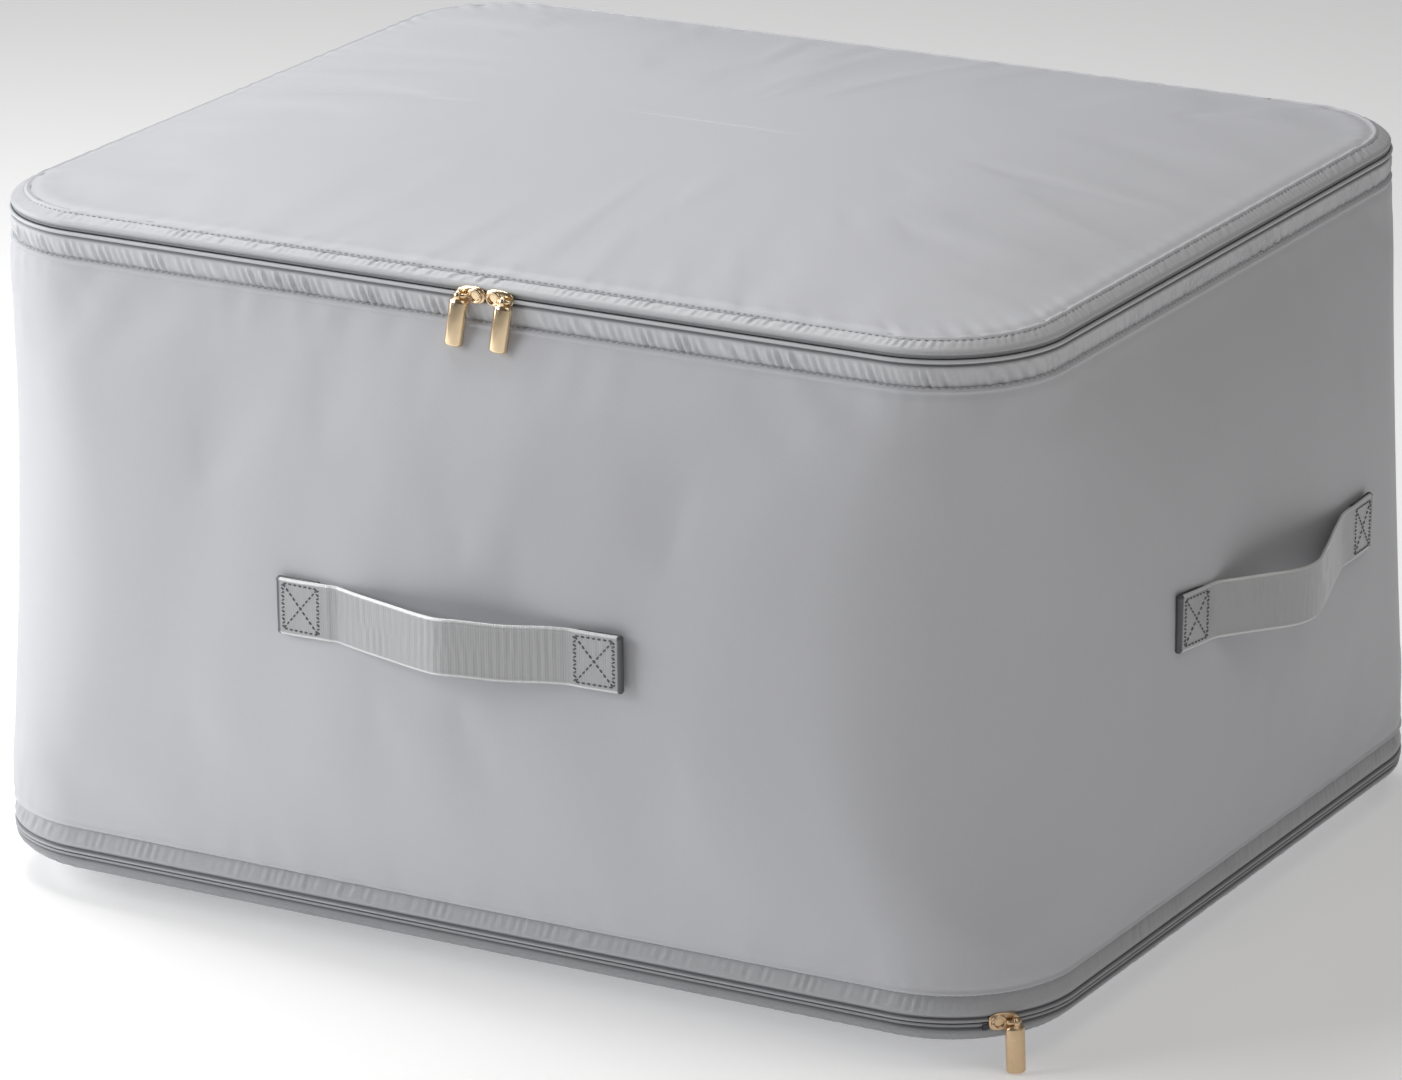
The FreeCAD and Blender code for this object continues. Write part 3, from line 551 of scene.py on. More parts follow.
def resample(grid, rows_from, rows_to, columns_to):
    """A coarse closed grid read at finer rows and columns."""
    columns = grid.shape[1]
    place = np.arange(columns_to) * columns / columns_to
    left = np.floor(place).astype(int)
    part = (place - left)[None, :, None]
    across = grid[:, left % columns] * (1 - part) + grid[:, (left + 1) % columns] * part
    row = np.interp(rows_to, rows_from, np.arange(len(rows_from)))
    low = np.clip(np.floor(row).astype(int), 0, len(rows_from) - 2)
    part = (row - low)[:, None, None]
    return across[low] * (1 - part) + across[low + 1] * part


def closed_layer(name, outer, inner, material, uv):
    """A sheet of cloth between two grids of points, closed at its first and last rows."""
    rows, columns = outer.shape[:2]
    faces = grid_faces(2 * rows, columns, wrap_rows=True)
    return make_piece(name, np.concatenate([outer, inner[::-1]]), faces, material,
                      uv=np.concatenate([uv, uv[::-1]]))


COARSE, COARSE_ROWS = 3, 36
wall_points, wall_normals = wall_grid(wall_rows)
first_round, wall_length = round_distance(wall_points[len(wall_rows) // 2][:, :2])
coarse_rows = np.linspace(0, 2 * wall_reach, COARSE_ROWS)
coarse_points = wall_grid(coarse_rows)[0][:, ::COARSE]
coarse_count = coarse_points.shape[1]
pins = list(range(coarse_count))
pins += [(COARSE_ROWS - 1) * coarse_count + pin for pin in pins]
settled = kept_share(relax("wall_trial", coarse_points, pins, 2.5), 60, 1.2, 0.5)
wall_move = resample(settled, coarse_rows, wall_rows, wall_points.shape[1])


def wall_relief():
    """How far the outer cloth stands from the plain stuffed shape: waves, puckers and hems."""
    s, row = first_round[None, :], wall_rows[:, None]
    edge = np.minimum(row, 2 * wall_reach - row)
    free = smooth(edge, 4, 70)
    sway = s + 18 * np.sin(row / 60)
    waves = 1.1 * ripple(sway, wall_length, 260, 3) + 0.35 * ripple(sway, wall_length, 90, 5)
    pucker = 0.22 * ripple(s, wall_length, 17, 8) * np.exp(-((edge - 7) / 9) ** 2)
    pucker *= 0.55 + 0.45 * ripple(s, wall_length, 300, 11)
    return waves * free + pucker + hem(edge)


FABRIC = 1.2
relief = wall_relief()[..., None]
outer = wall_points + wall_normals * relief + wall_move
inner = outer - wall_normals * FABRIC
uv = stacked(first_round[None, :], wall_rows[:, None])
wall_cover = placed(closed_layer("wall_cover", outer, inner, shell_cloth, uv), "wall", "wall_panel")


def wall_inside(name, depth, thickness, material, node_name, sway):
    """One hidden or inner layer of the wall, with slow waves of its own."""
    rows = np.linspace(1.0, 2 * wall_reach - 1.0, 48)
    normals = wall_grid(rows)[1][:, ::2]
    points = resample(outer, wall_rows, rows, outer.shape[1])[:, ::2] - normals * depth
    s = first_round[None, ::2]
    edge = np.minimum(rows, 2 * wall_reach - rows)[:, None]
    waves = sway * ripple(s + 25 * np.sin(rows[:, None] / 45), wall_length, 120, 21) * smooth(edge, 3, 50)
    points = points - normals * (np.abs(waves) * 0.5)[..., None]
    around = stacked(s, rows[:, None])
    piece = closed_layer(name, points, points - normals * thickness, material, around)
    return placed(piece, "wall", node_name)


wall_padding = wall_inside("wall_padding", 2.2, 2.2, foam_sheet, "wall_foam", 0.4)
wall_inside("wall_lining_cloth", 5.2, 0.7, lining_cloth, "wall_lining", 1.6)


# ---- the lid and the base

LID_LAP, LID_CORNER, LID_REACH = 1.6, SEAM_CORNER - 6.8, 0.97
BASE_CORNER, BASE_RUN = FOOT_CORNER - 7.5, 58.5
base_high = node_box("base_panel")[1]
lid_crown = lid_high[2] - lid_low[2]
lid_insets = np.concatenate([EDGE_ROWS[:-1], np.linspace(18, lid_high[1] * LID_REACH, 46)])


def inset_outline(half_x, half_y, corner, inset):
    """A plain rounded outline drawn in; its corners shrink with it."""
    reach = half_y - 2.0
    radius = max(corner * (1 - inset / reach), 0.5)
    return bowed_outline(half_x - inset, half_y - inset, radius, LEAST_BOW, LEAST_BOW)


def lid_height(x, y):
    """How high the lid's crown stands over its edge."""
    across = np.clip(np.abs(x) / lid_high[0], 0, 1)
    deep = np.clip(np.abs(y) / lid_high[1], 0, 1)
    return lid_crown * (1 - across**3.4) * (1 - deep**2.4)


def lid_grid(insets):
    """Points of the lid from its sewn edge to its middle."""
    points = []
    for inset in insets:
        flat, _ = inset_outline(lid_high[0] + LID_LAP, lid_high[1] + LID_LAP, LID_CORNER, inset)
        height = lid_height(flat[:, 0], flat[:, 1])
        if inset == insets[0]:
            edge_height = height
        rise = height - edge_height * (1 - smooth(inset, 0, 45))
        drop = 0.8 * LID_LAP * (1 - smooth(inset, 0, 9))
        points.append(np.column_stack([flat, lid_low[2] + rise - drop]))
    return np.array(points)


def capped_layer(name, outer, inner, material, uv, up=True):
    """A sheet of cloth whose last rows close over the middle."""
    rows, columns = outer.shape[:2]
    first, last = end_faces(2 * rows, columns)
    faces = grid_faces(2 * rows, columns) + [first[::-1], last[::-1]]
    if not up:
        faces = [face[::-1] for face in faces]
    return make_piece(name, np.concatenate([outer[::-1], inner]), faces, material,
                      uv=np.concatenate([uv[::-1], uv]))


LID_TRIAL_ROWS = 26
lid_points = lid_grid(lid_insets)
coarse_insets = np.linspace(0, lid_high[1] * LID_REACH, LID_TRIAL_ROWS)
coarse_lid = lid_grid(coarse_insets)[:, ::COARSE]
edge_pins = list(range(coarse_lid.shape[1]))
middle_face = [(LID_TRIAL_ROWS - 1) * len(edge_pins) + pin for pin in edge_pins]
lid_settled = kept_share(relax("lid_trial", coarse_lid, edge_pins, 2.0, [middle_face]), 40, 1.0, 0.4)
lid_settled *= (1 - smooth(coarse_insets, 120, 200))[:, None, None]
lid_move = resample(lid_settled, coarse_insets, lid_insets, lid_points.shape[1])


def lid_relief(points, insets):
    """How far the lid's cloth lifts from its plain crown."""
    s = round_distance(points[0][:, :2])
    edge = insets[:, None]
    pucker = 0.25 * ripple(s[0][None, :], s[1], 15, 31) * np.exp(-((edge - 7) / 8) ** 2)
    slow = 0.9 * np.sin(points[..., 0] / 71 + 1.3) * np.sin(points[..., 1] / 58 + 0.4)
    return hem(edge) * 0.8 + pucker + slow * smooth(edge, 10, 70)


lid_outer = lid_points + lid_move
lid_outer[..., 2] += lid_relief(lid_points, lid_insets)
lid_inner = lid_outer - np.array([0, 0, FABRIC])
lid_cover = placed(capped_layer("lid_cover", lid_outer, lid_inner, shell_cloth, lid_points[..., :2]), "lid",
                   "lid_panel")


def lid_inside(name, depth, thickness, material, node_name, sway):
    """One hidden or inner layer of the lid, with slow waves of its own."""
    insets = np.linspace(1.5, lid_high[1] * LID_REACH, 30)
    points = resample(lid_outer, lid_insets, insets, lid_outer.shape[1])[:, ::2]
    points[..., 2] -= depth
    edge = smooth(insets, 3, 40)[:, None]
    points[..., 2] -= sway * edge * np.abs(np.sin(points[..., 0] / 37) * np.sin(points[..., 1] / 29 + 0.7))
    below = points - np.array([0, 0, thickness])
    piece = capped_layer(name, points, below, material, points[..., :2])
    return placed(piece, "lid", node_name)


lid_padding = lid_inside("lid_padding", 1.9, 2.4, foam_sheet, "lid_foam", 0.2)
lid_inside("lid_lining_cloth", 5.0, 0.7, lining_cloth, "lid_lining", 1.0)


def base_grid(insets, depth):
    """Points of the base from its sewn edge down to its flat underside, at a depth above its face."""
    points = []
    for inset in insets:
        flat, normal = inset_outline(base_high[0], base_high[1], BASE_CORNER, inset)
        flat = flat - normal * depth * (1 - smooth(inset, 0, 30))
        rise = base_high[2] * (1 - np.clip(inset / BASE_RUN, 0, 1)) ** 1.7 + depth
        points.append(np.column_stack([flat, np.full(len(flat), rise)]))
    return np.array(points)


def base_layer(name, depth, thickness, material, node_name, insets):
    """One layer of the base, puckered round its edge."""
    points = base_grid(insets, depth)
    s, length = round_distance(points[0][:, :2])
    edge = insets[:, None]
    points[..., 2] += 0.5 * (1 + ripple(s[None, :], length, 60, 41)) * np.exp(-((edge - 26) / 20) ** 2)
    above = points + np.array([0, 0, thickness])
    piece = capped_layer(name, points, above, material, points[..., :2], up=False)
    return placed(piece, "base", node_name)


base_insets = np.concatenate([EDGE_ROWS[:-1], np.linspace(18, base_high[1] * LID_REACH, 40)])
inner_insets = np.linspace(1.5, base_high[1] * LID_REACH, 36)
base_layer("base_cover", 0.0, FABRIC, shell_cloth, "base_panel", base_insets)
base_padding = base_layer("base_padding", 1.8, 2.6, foam_sheet, "base_foam", inner_insets)
base_layer("base_lining_cloth", 5.3, 0.7, lining_cloth, "base_lining", inner_insets)


# ---- zip tapes, coils and bindings

back_gap = (hinge_half, top_loop.length - hinge_half)


def tape(name, loop, section, node_name, body, seed, span=None, rippled=0.9):
    """A zip tape with puckers between its seam and its chain.

    section runs from the sewn edge to the chain: outwards and rise from the chain, and the painted
    shade there, which darkens the tape's colour where shade falls.
    """
    count = 30
    section = np.array(section)
    profile = strip_profile(curve_through(section[:, :2], count), 0.8)
    reach = np.linspace(0, 1, count)
    band = np.sin(math.pi * np.clip((reach - 0.04) / 0.62, 0, 1)) ** 0.8
    band = np.concatenate([band, band[::-1]])
    slant = np.concatenate([reach, reach[::-1]]) * 8
    steps = walked(section[:, :2])
    # painted shade along the section, darkest in the zip's grooves
    shade = np.interp(reach, steps / steps[-1], section[:, 2])

    def push(s, k):
        fine = ripple(s + 0.5 * slant[k], loop.length, 4.6, seed, 0.2)
        broad = ripple(s + slant[k], loop.length, 9.0, seed + 5, 0.3)
        strength = np.clip(0.75 + 0.5 * ripple(s, loop.length, 140, seed + 1), 0.3, 1.4)
        return rippled * band[k] * (0.7 * fine + 0.5 * broad * strength)

    piece = sweep(name, loop, profile, tape_cloth, 1.25, push, span, np.concatenate([shade, shade[::-1]]))
    return placed(piece, body, node_name)


# Third column: painted shade, dark in the zip's grooves, light over the lid tape, stronger on the foot tapes.
TOP_WALL_SECTION = [
    (-3.4, -15.6, 0.15), (-2.3, -13.6, 0), (-1.5, -11.4, 0), (-0.8, -8.6, 0), (-0.3, -5.8, 0),
    (-0.2, -3.8, 0), (-0.7, -3.0, 0.45), (-1.3, -2.5, 0.9), (-1.2, -2.0, 0.8), (0.1, -1.4, 0.05),
    (0.6, -0.6, 0), (0.3, 0.1, 0), (-1.0, 0.5, 0.6)
]
TOP_LID_SECTION = [
    (-11.0, 8.8, 0.35), (-8.4, 8.3, 0.22), (-5.8, 7.5, 0.15), (-3.2, 6.2, 0.15), (-1.2, 4.9, 0.15),
    (-0.4, 3.7, 0.15), (-0.6, 2.9, 0.3), (-1.1, 2.2, 0.6), (-1.2, 1.6, 0.7), (-1.0, 0.9, 0.6)
]
FOOT_WALL_SECTION = [
    (-3.2, 15.6, 0.35), (-2.3, 13.6, 0.3), (-1.6, 11.6, 0.3), (-0.7, 8.6, 0.3), (0.0, 5.8, 0.3),
    (0.0, 4.0, 0.3), (-0.6, 3.1, 0.6), (-1.2, 2.5, 1.0), (-1.1, 2.0, 0.9), (0.0, 1.5, 0.4),
    (0.5, 0.9, 0.35), (0.3, 0.4, 0.35), (-0.9, 0.2, 0.6)
]
FOOT_BASE_SECTION = [
    (-10.6, -12.4, 0.8), (-8.0, -11.4, 0.65), (-5.2, -9.6, 0.58), (-2.4, -7.2, 0.55),
    (-0.6, -5.4, 0.55), (-0.3, -4.2, 0.55), (-0.8, -3.3, 0.7), (-1.3, -2.7, 1.0), (-1.2, -2.1, 0.9),
    (0.0, -1.7, 0.5), (0.4, -1.0, 0.45), (0.0, -0.5, 0.45), (-1.0, -0.2, 0.6)
]
tape("top_tape_lower", top_loop, TOP_WALL_SECTION, "top_tape_wall", "wall", 51, back_gap)
tape("top_tape_upper", top_loop, TOP_LID_SECTION, "top_tape_lid", "lid", 61, back_gap)
tape("foot_tape_upper", foot_loop, FOOT_WALL_SECTION, "foot_tape_wall", "wall", 71, rippled=0.35)
tape("foot_tape_lower", foot_loop, FOOT_BASE_SECTION, "foot_tape_base", "base", 81, rippled=0.35)


def coil(name, loop, rise, node_name, body, span=None):
    """A nylon zip coil: one continuous thread wound along the tape."""
    start, end = span or (0, loop.length)
    pitch, samples, sides, thread = 1.5, 7, 4, 0.36
    middle, half_width, half_height = -3.1, 0.95, 1.2
    turns = int((end - start) / pitch)
    count = turns * samples + (0 if span is None else 1)
    turn = np.arange(count) / samples
    along = start + (end - start) * turn / turns
    angle = TAU * turn
    rings = []
    for tilt in full_turn(sides):
        girth = thread * math.cos(tilt)
        rings.append(loop.place(along + thread * math.sin(tilt),
                                middle + (half_width + girth) * np.cos(angle),
                                rise + (half_height + girth) * np.sin(angle)))
    faces = grid_faces(count, sides, wrap_rows=span is None)
    if span is not None:
        faces += end_faces(count, sides)
    return placed(make_piece(name, np.stack(rings, 1), faces, coil_nylon), body, node_name)


coil("top_coil_lower", top_loop, -1.7, "top_coil_wall", "wall", back_gap)
coil("top_coil_upper", top_loop, 1.7, "top_coil_lid", "lid", back_gap)
coil("foot_coil_upper", foot_loop, 1.7, "foot_coil_wall", "wall")
coil("foot_coil_lower", foot_loop, -1.7, "foot_coil_base", "base")


def binding(name, loop, node_name, body, seed):
    """A folded bias tape over raw edges, slightly puckered by its stitches."""
    low, high = node_box(node_name)
    rise = (low[2] + high[2]) / 2 - loop.height
    inset = high[0] - (loop.centre_x[5] + loop.corner)
    turn, half_width, half_height = full_turn(12), 1.3, 1.5
    profile = stacked(inset - half_width + half_width * squared(np.cos(turn), 0.7),
                      rise + half_height * squared(np.sin(turn), 0.7))
    piece = sweep(name, loop, profile, binding_cloth, 2.4,
                  lambda s, k: 0.18 * ripple(s + 2.0 * k, loop.length, 8, seed))
    return placed(piece, body, node_name)


binding("top_binding_lower", top_loop, "top_binding_wall", "wall", 91)
binding("top_binding_upper", top_loop, "top_binding_lid", "lid", 92)
binding("foot_binding_upper", foot_loop, "foot_binding_wall", "wall", 93)
binding("foot_binding_lower", foot_loop, "foot_binding_base", "base", 94)

# the cloth hinge along the back edge
HINGE_POINTS, HINGE_REACH = 22, 0.004
hinge_outline = [(-5.2, -15.0), (-3.6, -12.6), (-1.8, -9.0), (-0.5, -4.5), (0.0, -0.6), (-0.4, 2.6),
                 (-2.4, 5.8), (-5.6, 8.2), (-9.2, 9.4)]
hinge_profile = strip_profile(curve_through(hinge_outline, HINGE_POINTS), 0.9)


def hinge_push(s, k):
    """Slow puckers that fade out at both edges of the hinge cloth."""
    share = (k % HINGE_POINTS) / (HINGE_POINTS - 1)
    return 0.2 * ripple(s, top_loop.length, 22, 97) * np.sin(math.pi * share)


hinge = sweep("back_hinge_cloth", top_loop, hinge_profile, shell_cloth, 2.4, hinge_push,
              (-hinge_half + 0.5, hinge_half - 0.5))
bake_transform(hinge)
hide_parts("lid_hinge_strip")


# ---- stitches

def stitches(name, centres, along, outwards, material, body, radius=0.32):
    """Short sewn threads, each a rounded bead that dips into the cloth at both ends."""
    sides, rings = 6, 5
    centres, along, outwards = (np.asarray(item)[:, None, None, :] for item in (centres, along, outwards))
    across = np.cross(along, outwards)
    reach = np.linspace(-1, 1, rings)[:, None, None]
    girth = radius * np.sqrt(np.clip(1 - np.abs(reach) ** 3.2, 0.05, 1))
    turn = full_turn(sides)[:, None]
    points = (centres + along * (reach * STITCH_LENGTH / 2)
              + outwards * (girth * np.cos(turn) - 0.7 * radius * reach**2)
              + across * (girth * np.sin(turn)))
    faces = []
    for start in range(0, len(points) * rings * sides, rings * sides):
        faces += grid_faces(rings, sides, start=start) + end_faces(rings, sides, start)
    piece = make_piece(name, points, faces, material, uv=np.zeros(points.shape[:3] + (2,)))
    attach(piece, body)
    return piece


def edge_stitches(name, line, facing, material, body):
    """Stitches along a closed line on the cloth, which faces the given way at each of its points."""
    closed = np.concatenate([line, line[:1]])
    facing = np.concatenate([facing, facing[:1]])
    reach = walked(closed)
    count = int(reach[-1] / STITCH_PITCH)
    places = reach[-1] * (np.arange(count) + 0.5) / count
    centres = read_at(places, reach, closed)
    outwards = unit(read_at(places, reach, facing))
    along = unit(read_at(places + 0.5, reach, closed) - centres)
    return stitches(name, centres + outwards * 0.12, along, outwards, material, body)


STITCH_ROW, STITCH_LENGTH, STITCH_PITCH = 1, 2.5, 3.6
edge_stitches("wall_top_stitches", outer[-1 - STITCH_ROW], wall_normals[-1 - STITCH_ROW], thread_mid, "wall")
edge_stitches("wall_foot_stitches", outer[STITCH_ROW], wall_normals[STITCH_ROW], thread_mid, "wall")
upward = np.tile([0.0, 0.0, 1.0], (lid_outer.shape[1], 1))
edge_stitches("lid_stitches", lid_outer[STITCH_ROW], upward, thread_mid, "lid")


# ---- webbing handles

STRAP, STRAP_HALF_WIDTH, PATCH = 1.6, 15.0, 27.0
PATCH_RISE, FOLD, GRIP_START, WALL_GAP = 1.3, 1.05, 35.0, 0.3
FOLD_ROOM, STRAP_WALK, SECTION_POINTS = 1.6, 400, 25


def strap_path(reach_out, flat_length, bow, sag, crest, bend):
    """One part of a strap from its crest to its folded end: (along, outwards) points.

    A rounded crest, a straight flank and a soft bend onto the wall, with crest and bend as radii.
    """
    half_span = reach_out - flat_length
    lift = STRAP / 2 + WALL_GAP
    both = crest + bend
    turn = math.asin(both / math.hypot(half_span, both - bow)) - math.atan2(both - bow, half_span)
    arc = np.linspace(0, turn, 24)
    top = stacked(crest * np.sin(arc), bow + lift - crest + crest * np.cos(arc))
    down = np.linspace(turn, 0, 14)
    foot = stacked(half_span - bend * np.sin(down), lift + bend - bend * np.cos(down))
    flat = np.linspace(half_span, reach_out - FOLD_ROOM, 16)[1:]
    patch = stacked(flat, lift - sag(flat))
    raised = np.concatenate([top, foot, patch])
    raised[:, 1] += PATCH_RISE * smooth(raised[:, 0], reach_out - PATCH - 22, reach_out - PATCH)
    end = raised[-1]
    fold = np.linspace(0, math.pi, 8)[1:]
    turned = end + FOLD * stacked(np.sin(fold), np.cos(fold) - 1)
    back = np.linspace(reach_out - FOLD_ROOM, reach_out - PATCH + 2, 14)[1:]
    under = stacked(back, turned[-1, 1] + sag(reach_out - FOLD_ROOM) - sag(back))
    path = np.concatenate([raised, turned, under])
    reach = walked(path)
    fold_start = reach[len(raised) - 1]
    even = np.linspace(0, reach[-1], 150)
    even = even[np.abs(even - fold_start - 1.5) > 2.2]
    even = np.sort(np.concatenate([even, reach[len(raised) - 2:len(raised) + 8]]))
    return read_at(even, reach, path), even, fold_start


def strap_half(name, place, path, reach, fold_start, seed, side, crest_at, body, start, end):
    """One half of a strap of webbing as its own piece, from its crest to its folded end on the wall."""
    path = np.concatenate([path[:1] + [-0.5, -0.03], path])
    reach = np.concatenate([[-0.5], reach])
    tangent = np.gradient(path, axis=0)
    tangent[:2] = [1, 0]
    tangent = unit(tangent)
    outwards = stacked(-tangent[:, 1], tangent[:, 0])
    walk = (side * reach)[:, None]
    width = np.linspace(-1, 1, SECTION_POINTS)
    width = np.concatenate([width, width[::-1]])
    face = np.repeat([1.0, -1.0], SECTION_POINTS)
    rounding = np.sqrt(np.clip(1 - np.abs(width) ** 24, 0.0, 1))
    selvedge = 1 + 0.6 * np.exp(-((np.abs(width) - 0.94) / 0.035) ** 2)
    thick = STRAP / 2 * face * rounding * selvedge
    upper = smooth(width[None, :], -0.25, 0.25)
    ribs = (ripple(walk, STRAP_WALK, 4.4, seed, 0.15) * upper
            + ripple(walk + 1.5, STRAP_WALK, 4.4, seed + 3, 0.15) * (1 - upper))
    free = 1 - smooth(reach[:, None], fold_start - PATCH - 8, fold_start - PATCH + 2)
    wave = 0.14 * ribs * (1 - np.abs(width[None, :]) ** 6) * (0.35 + 0.65 * free)
    offset = thick[None, :] + wave + 0.12 * free * ripple(walk, STRAP_WALK, 70, seed + 1)
    along = path[:, None, 0] + outwards[:, None, 0] * offset
    height = path[:, None, 1] + outwards[:, None, 1] * offset
    across = STRAP_HALF_WIDTH * width[None, :] + 0.22 * ripple(walk, STRAP_WALK, 60, seed + 2)
    points = place(crest_at + side * along, height, across)
    faces = grid_faces(*offset.shape) + end_faces(*offset.shape)
    uv = stacked(walk, STRAP_HALF_WIDTH * width[None, :])
    # painted shadow: the folded end and the layer turned under it are darkened as if in shade against the
    # wall
    under = np.broadcast_to(smooth(reach, fold_start - 1.1, fold_start - 0.5)[:, None], offset.shape)
    piece = make_piece(name, points, faces, webbing, uv=uv, shade=under)
    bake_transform(piece)
    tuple(start)
    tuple(end)
    return piece


def wall_sag(half_length, bulge, patch_start):
    """How the wall falls away from its tangent under a sewn patch."""
    radius = half_length**2 / (2 * bulge) + bulge / 2
    return lambda u: radius - np.sqrt(radius**2 - u**2) - (radius - math.sqrt(radius**2 - patch_start**2))


def box_stitches(name, place, half_chord, sag, side):
    """The sewn box with a cross that holds one strap end; its two upright sides are zigzags."""
    inner, far, half = half_chord - PATCH + 1.5, half_chord - 4.2, 12.0
    corners = [(inner, -half), (far, -half), (far, half), (inner, half)]
    runs = [(corners[0], corners[1], 3.0, False), (corners[3], corners[2], 3.0, False),
            (corners[1], corners[2], 1.9, True), (corners[0], corners[3], 1.9, True),
            (corners[0], corners[2], 2.9, False), (corners[1], corners[3], 2.9, False)]
    level = STRAP + WALL_GAP + PATCH_RISE + 0.12
    centres, along, outwards = [], [], []
    for begin, end, pitch, zigzag in runs:
        begin, end = np.array(begin), np.array(end)
        span = np.linalg.norm(end - begin)
        count = int(span / pitch)
        for index in range(count):
            u, w = begin + (end - begin) * (index + 0.5) / count
            step = np.array([1.0, 0.55 * (-1) ** index]) if zigzag else (end - begin) / span
            ahead_u, ahead_w = u + 0.1 * step[0], w + 0.1 * step[1]
            centre = place(side * u, level - sag(u), w)
            centres.append(centre)
            along.append(place(side * ahead_u, level - sag(ahead_u), ahead_w) - centre)
            outwards.append(place(side * u, level + 1 - sag(u), w) - centre)
    return stitches(name, centres, unit(np.array(along)), outwards, thread_dark, "wall", 0.5)


def handle(name, place, half_chord, bow, wall_curve, crest_at, crest, runs, seed):
    """A webbing handle: two parts that meet at its crest, and its sewn ends.

    wall_curve is the wall's half length and bulge. runs gives, for each part, how much of the strap
    lies on the wall and the radius of its bend.
    """
    sag = wall_sag(*wall_curve, half_chord - PATCH)
    for side, (flat_length, bend), word in ((-1, runs[0], "first"), (1, runs[1], "second")):
        offset = side * crest_at
        path, reach, fold_start = strap_path(half_chord - offset, flat_length, bow,
                                             lambda along: sag(along + offset), crest, bend)
        start, end = (tuple(place(side * u, 0.0, 0.0) * MM) for u in (half_chord - PATCH, GRIP_START))
        strap_half(f"{name}_strap_{word}", place, path, reach, fold_start, seed, side,
                                 crest_at, name, start, end)
        box_stitches(f"{name}_stitches_{word}", place, half_chord, sag, side)
    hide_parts(name)
    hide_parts(f"{name}_ends")


front_low, front_high = node_box("front_handle")
handle_level = (front_low[2] + front_high[2]) / 2
mean_x = (seam_high[0] + foot_high[0]) / 2 - WALL_SETBACK
mean_y = (seam_high[1] + foot_high[1]) / 2 - WALL_SETBACK
FRONT_HALF, FRONT_BOW, SIDE_HALF, SIDE_BOW = 100.0, 19.0, 112.5, 29.0
front_plane = -front_low[1] - FRONT_BOW - STRAP - WALL_GAP
side_plane = node_box("right_handle")[1][0] - SIDE_BOW - STRAP - WALL_GAP
front_middle = (front_low[0] + front_high[0]) / 2
TILT = math.radians(2.9)


def on_front(u, h, w):
    """Points beside the front handle: u along it, h out from the wall, w upwards."""
    return stacked(front_middle + u, -(front_plane + h), handle_level + w)


def on_right(u, h, w):
    """The same at the right, where a handle's front end is sewn on a little higher than its back end."""
    return stacked(side_plane + h, u * math.cos(TILT) + w * math.sin(TILT),
                   handle_level + w * math.cos(TILT) - u * math.sin(TILT))


def on_left(u, h, w):
    """The same at the left, a mirror image of the right."""
    return on_right(-u, h, w) * [-1, 1, 1]


handle("front_handle", on_front, FRONT_HALF, FRONT_BOW, (mean_x, BULGE_FRONT), crest_at=6.0, crest=22.0,
       runs=((34.0, 14.0), (PATCH, 12.0)), seed=101)
near, far = (PATCH, 20.0), (PATCH, 60.0)
for name, place, crest_at, runs, seed in (("right_handle", on_right, -22.0, (near, far), 111),
                                          ("left_handle", on_left, 22.0, (far, near), 121)):
    handle(name, place, SIDE_HALF, SIDE_BOW, (mean_y, BULGE_SIDE), crest_at, crest=47.0, runs=runs,
           seed=seed)


# ---- zip sliders, pulls and stops

def turned_frame(origin, turn):
    """Points drawn with x along the chain and -y outwards, carried to a place on a zip."""
    cos, sin = math.cos(turn), math.sin(turn)
    rotation = np.array([[cos, -sin, 0], [sin, cos, 0], [0, 0, 1]])
    return lambda points: points @ rotation.T + origin


def rings_part(rings, wrap=False):
    """Points and faces of a solid through a stack of rings, closed at both ends or round on itself."""
    rings = np.asarray(rings, float)
    size = rings.shape[:2]
    return rings.reshape(-1, 3), grid_faces(*size, wrap_rows=wrap) + ([] if wrap else end_faces(*size))


def tube(path, radii, wrap=False):
    """A bar along a path, with its radii sideways and upwards."""
    path = np.asarray(path, float)
    ahead = unit(np.roll(path, -1, 0) - np.roll(path, 1, 0) if wrap else np.gradient(path, axis=0))
    side = np.cross(ahead, [0.0, 0.0, 1.0])
    side[np.linalg.norm(side, axis=1) < 1e-3] = [1.0, 0.0, 0.0]
    side = unit(side)
    lift = np.cross(side, ahead)
    turn = full_turn(14)[:, None]
    return rings_part(path[:, None] + side[:, None] * radii[0] * np.cos(turn)
                      + lift[:, None] * radii[1] * np.sin(turn), wrap)


def assembled(name, parts, place, material, node_name):
    """One piece of metal from several solids, in the stead of the CAD node that its body is named for."""
    points, faces, start = [], [], 0
    for part_points, part_faces in parts:
        points.append(place(part_points))
        faces += [[index + start for index in face] for face in part_faces]
        start += len(part_points)
    piece = make_piece(name, np.concatenate(points), faces, material)
    return placed(piece, node_name, node_name)


def plate_ring(scale, y, nose):
    """One outline of a slider plate: broad and round at the nose, narrower at the tail."""
    half_length, half_width = 8.0, 4.8
    x, z = squared(np.cos(full_turn(48)), 0.75), squared(np.sin(full_turn(48)), 0.7)
    taper = 1 - 0.16 * (1 - x) / 2
    return stacked(nose * half_length * x * scale, y, half_width * z * taper * scale)


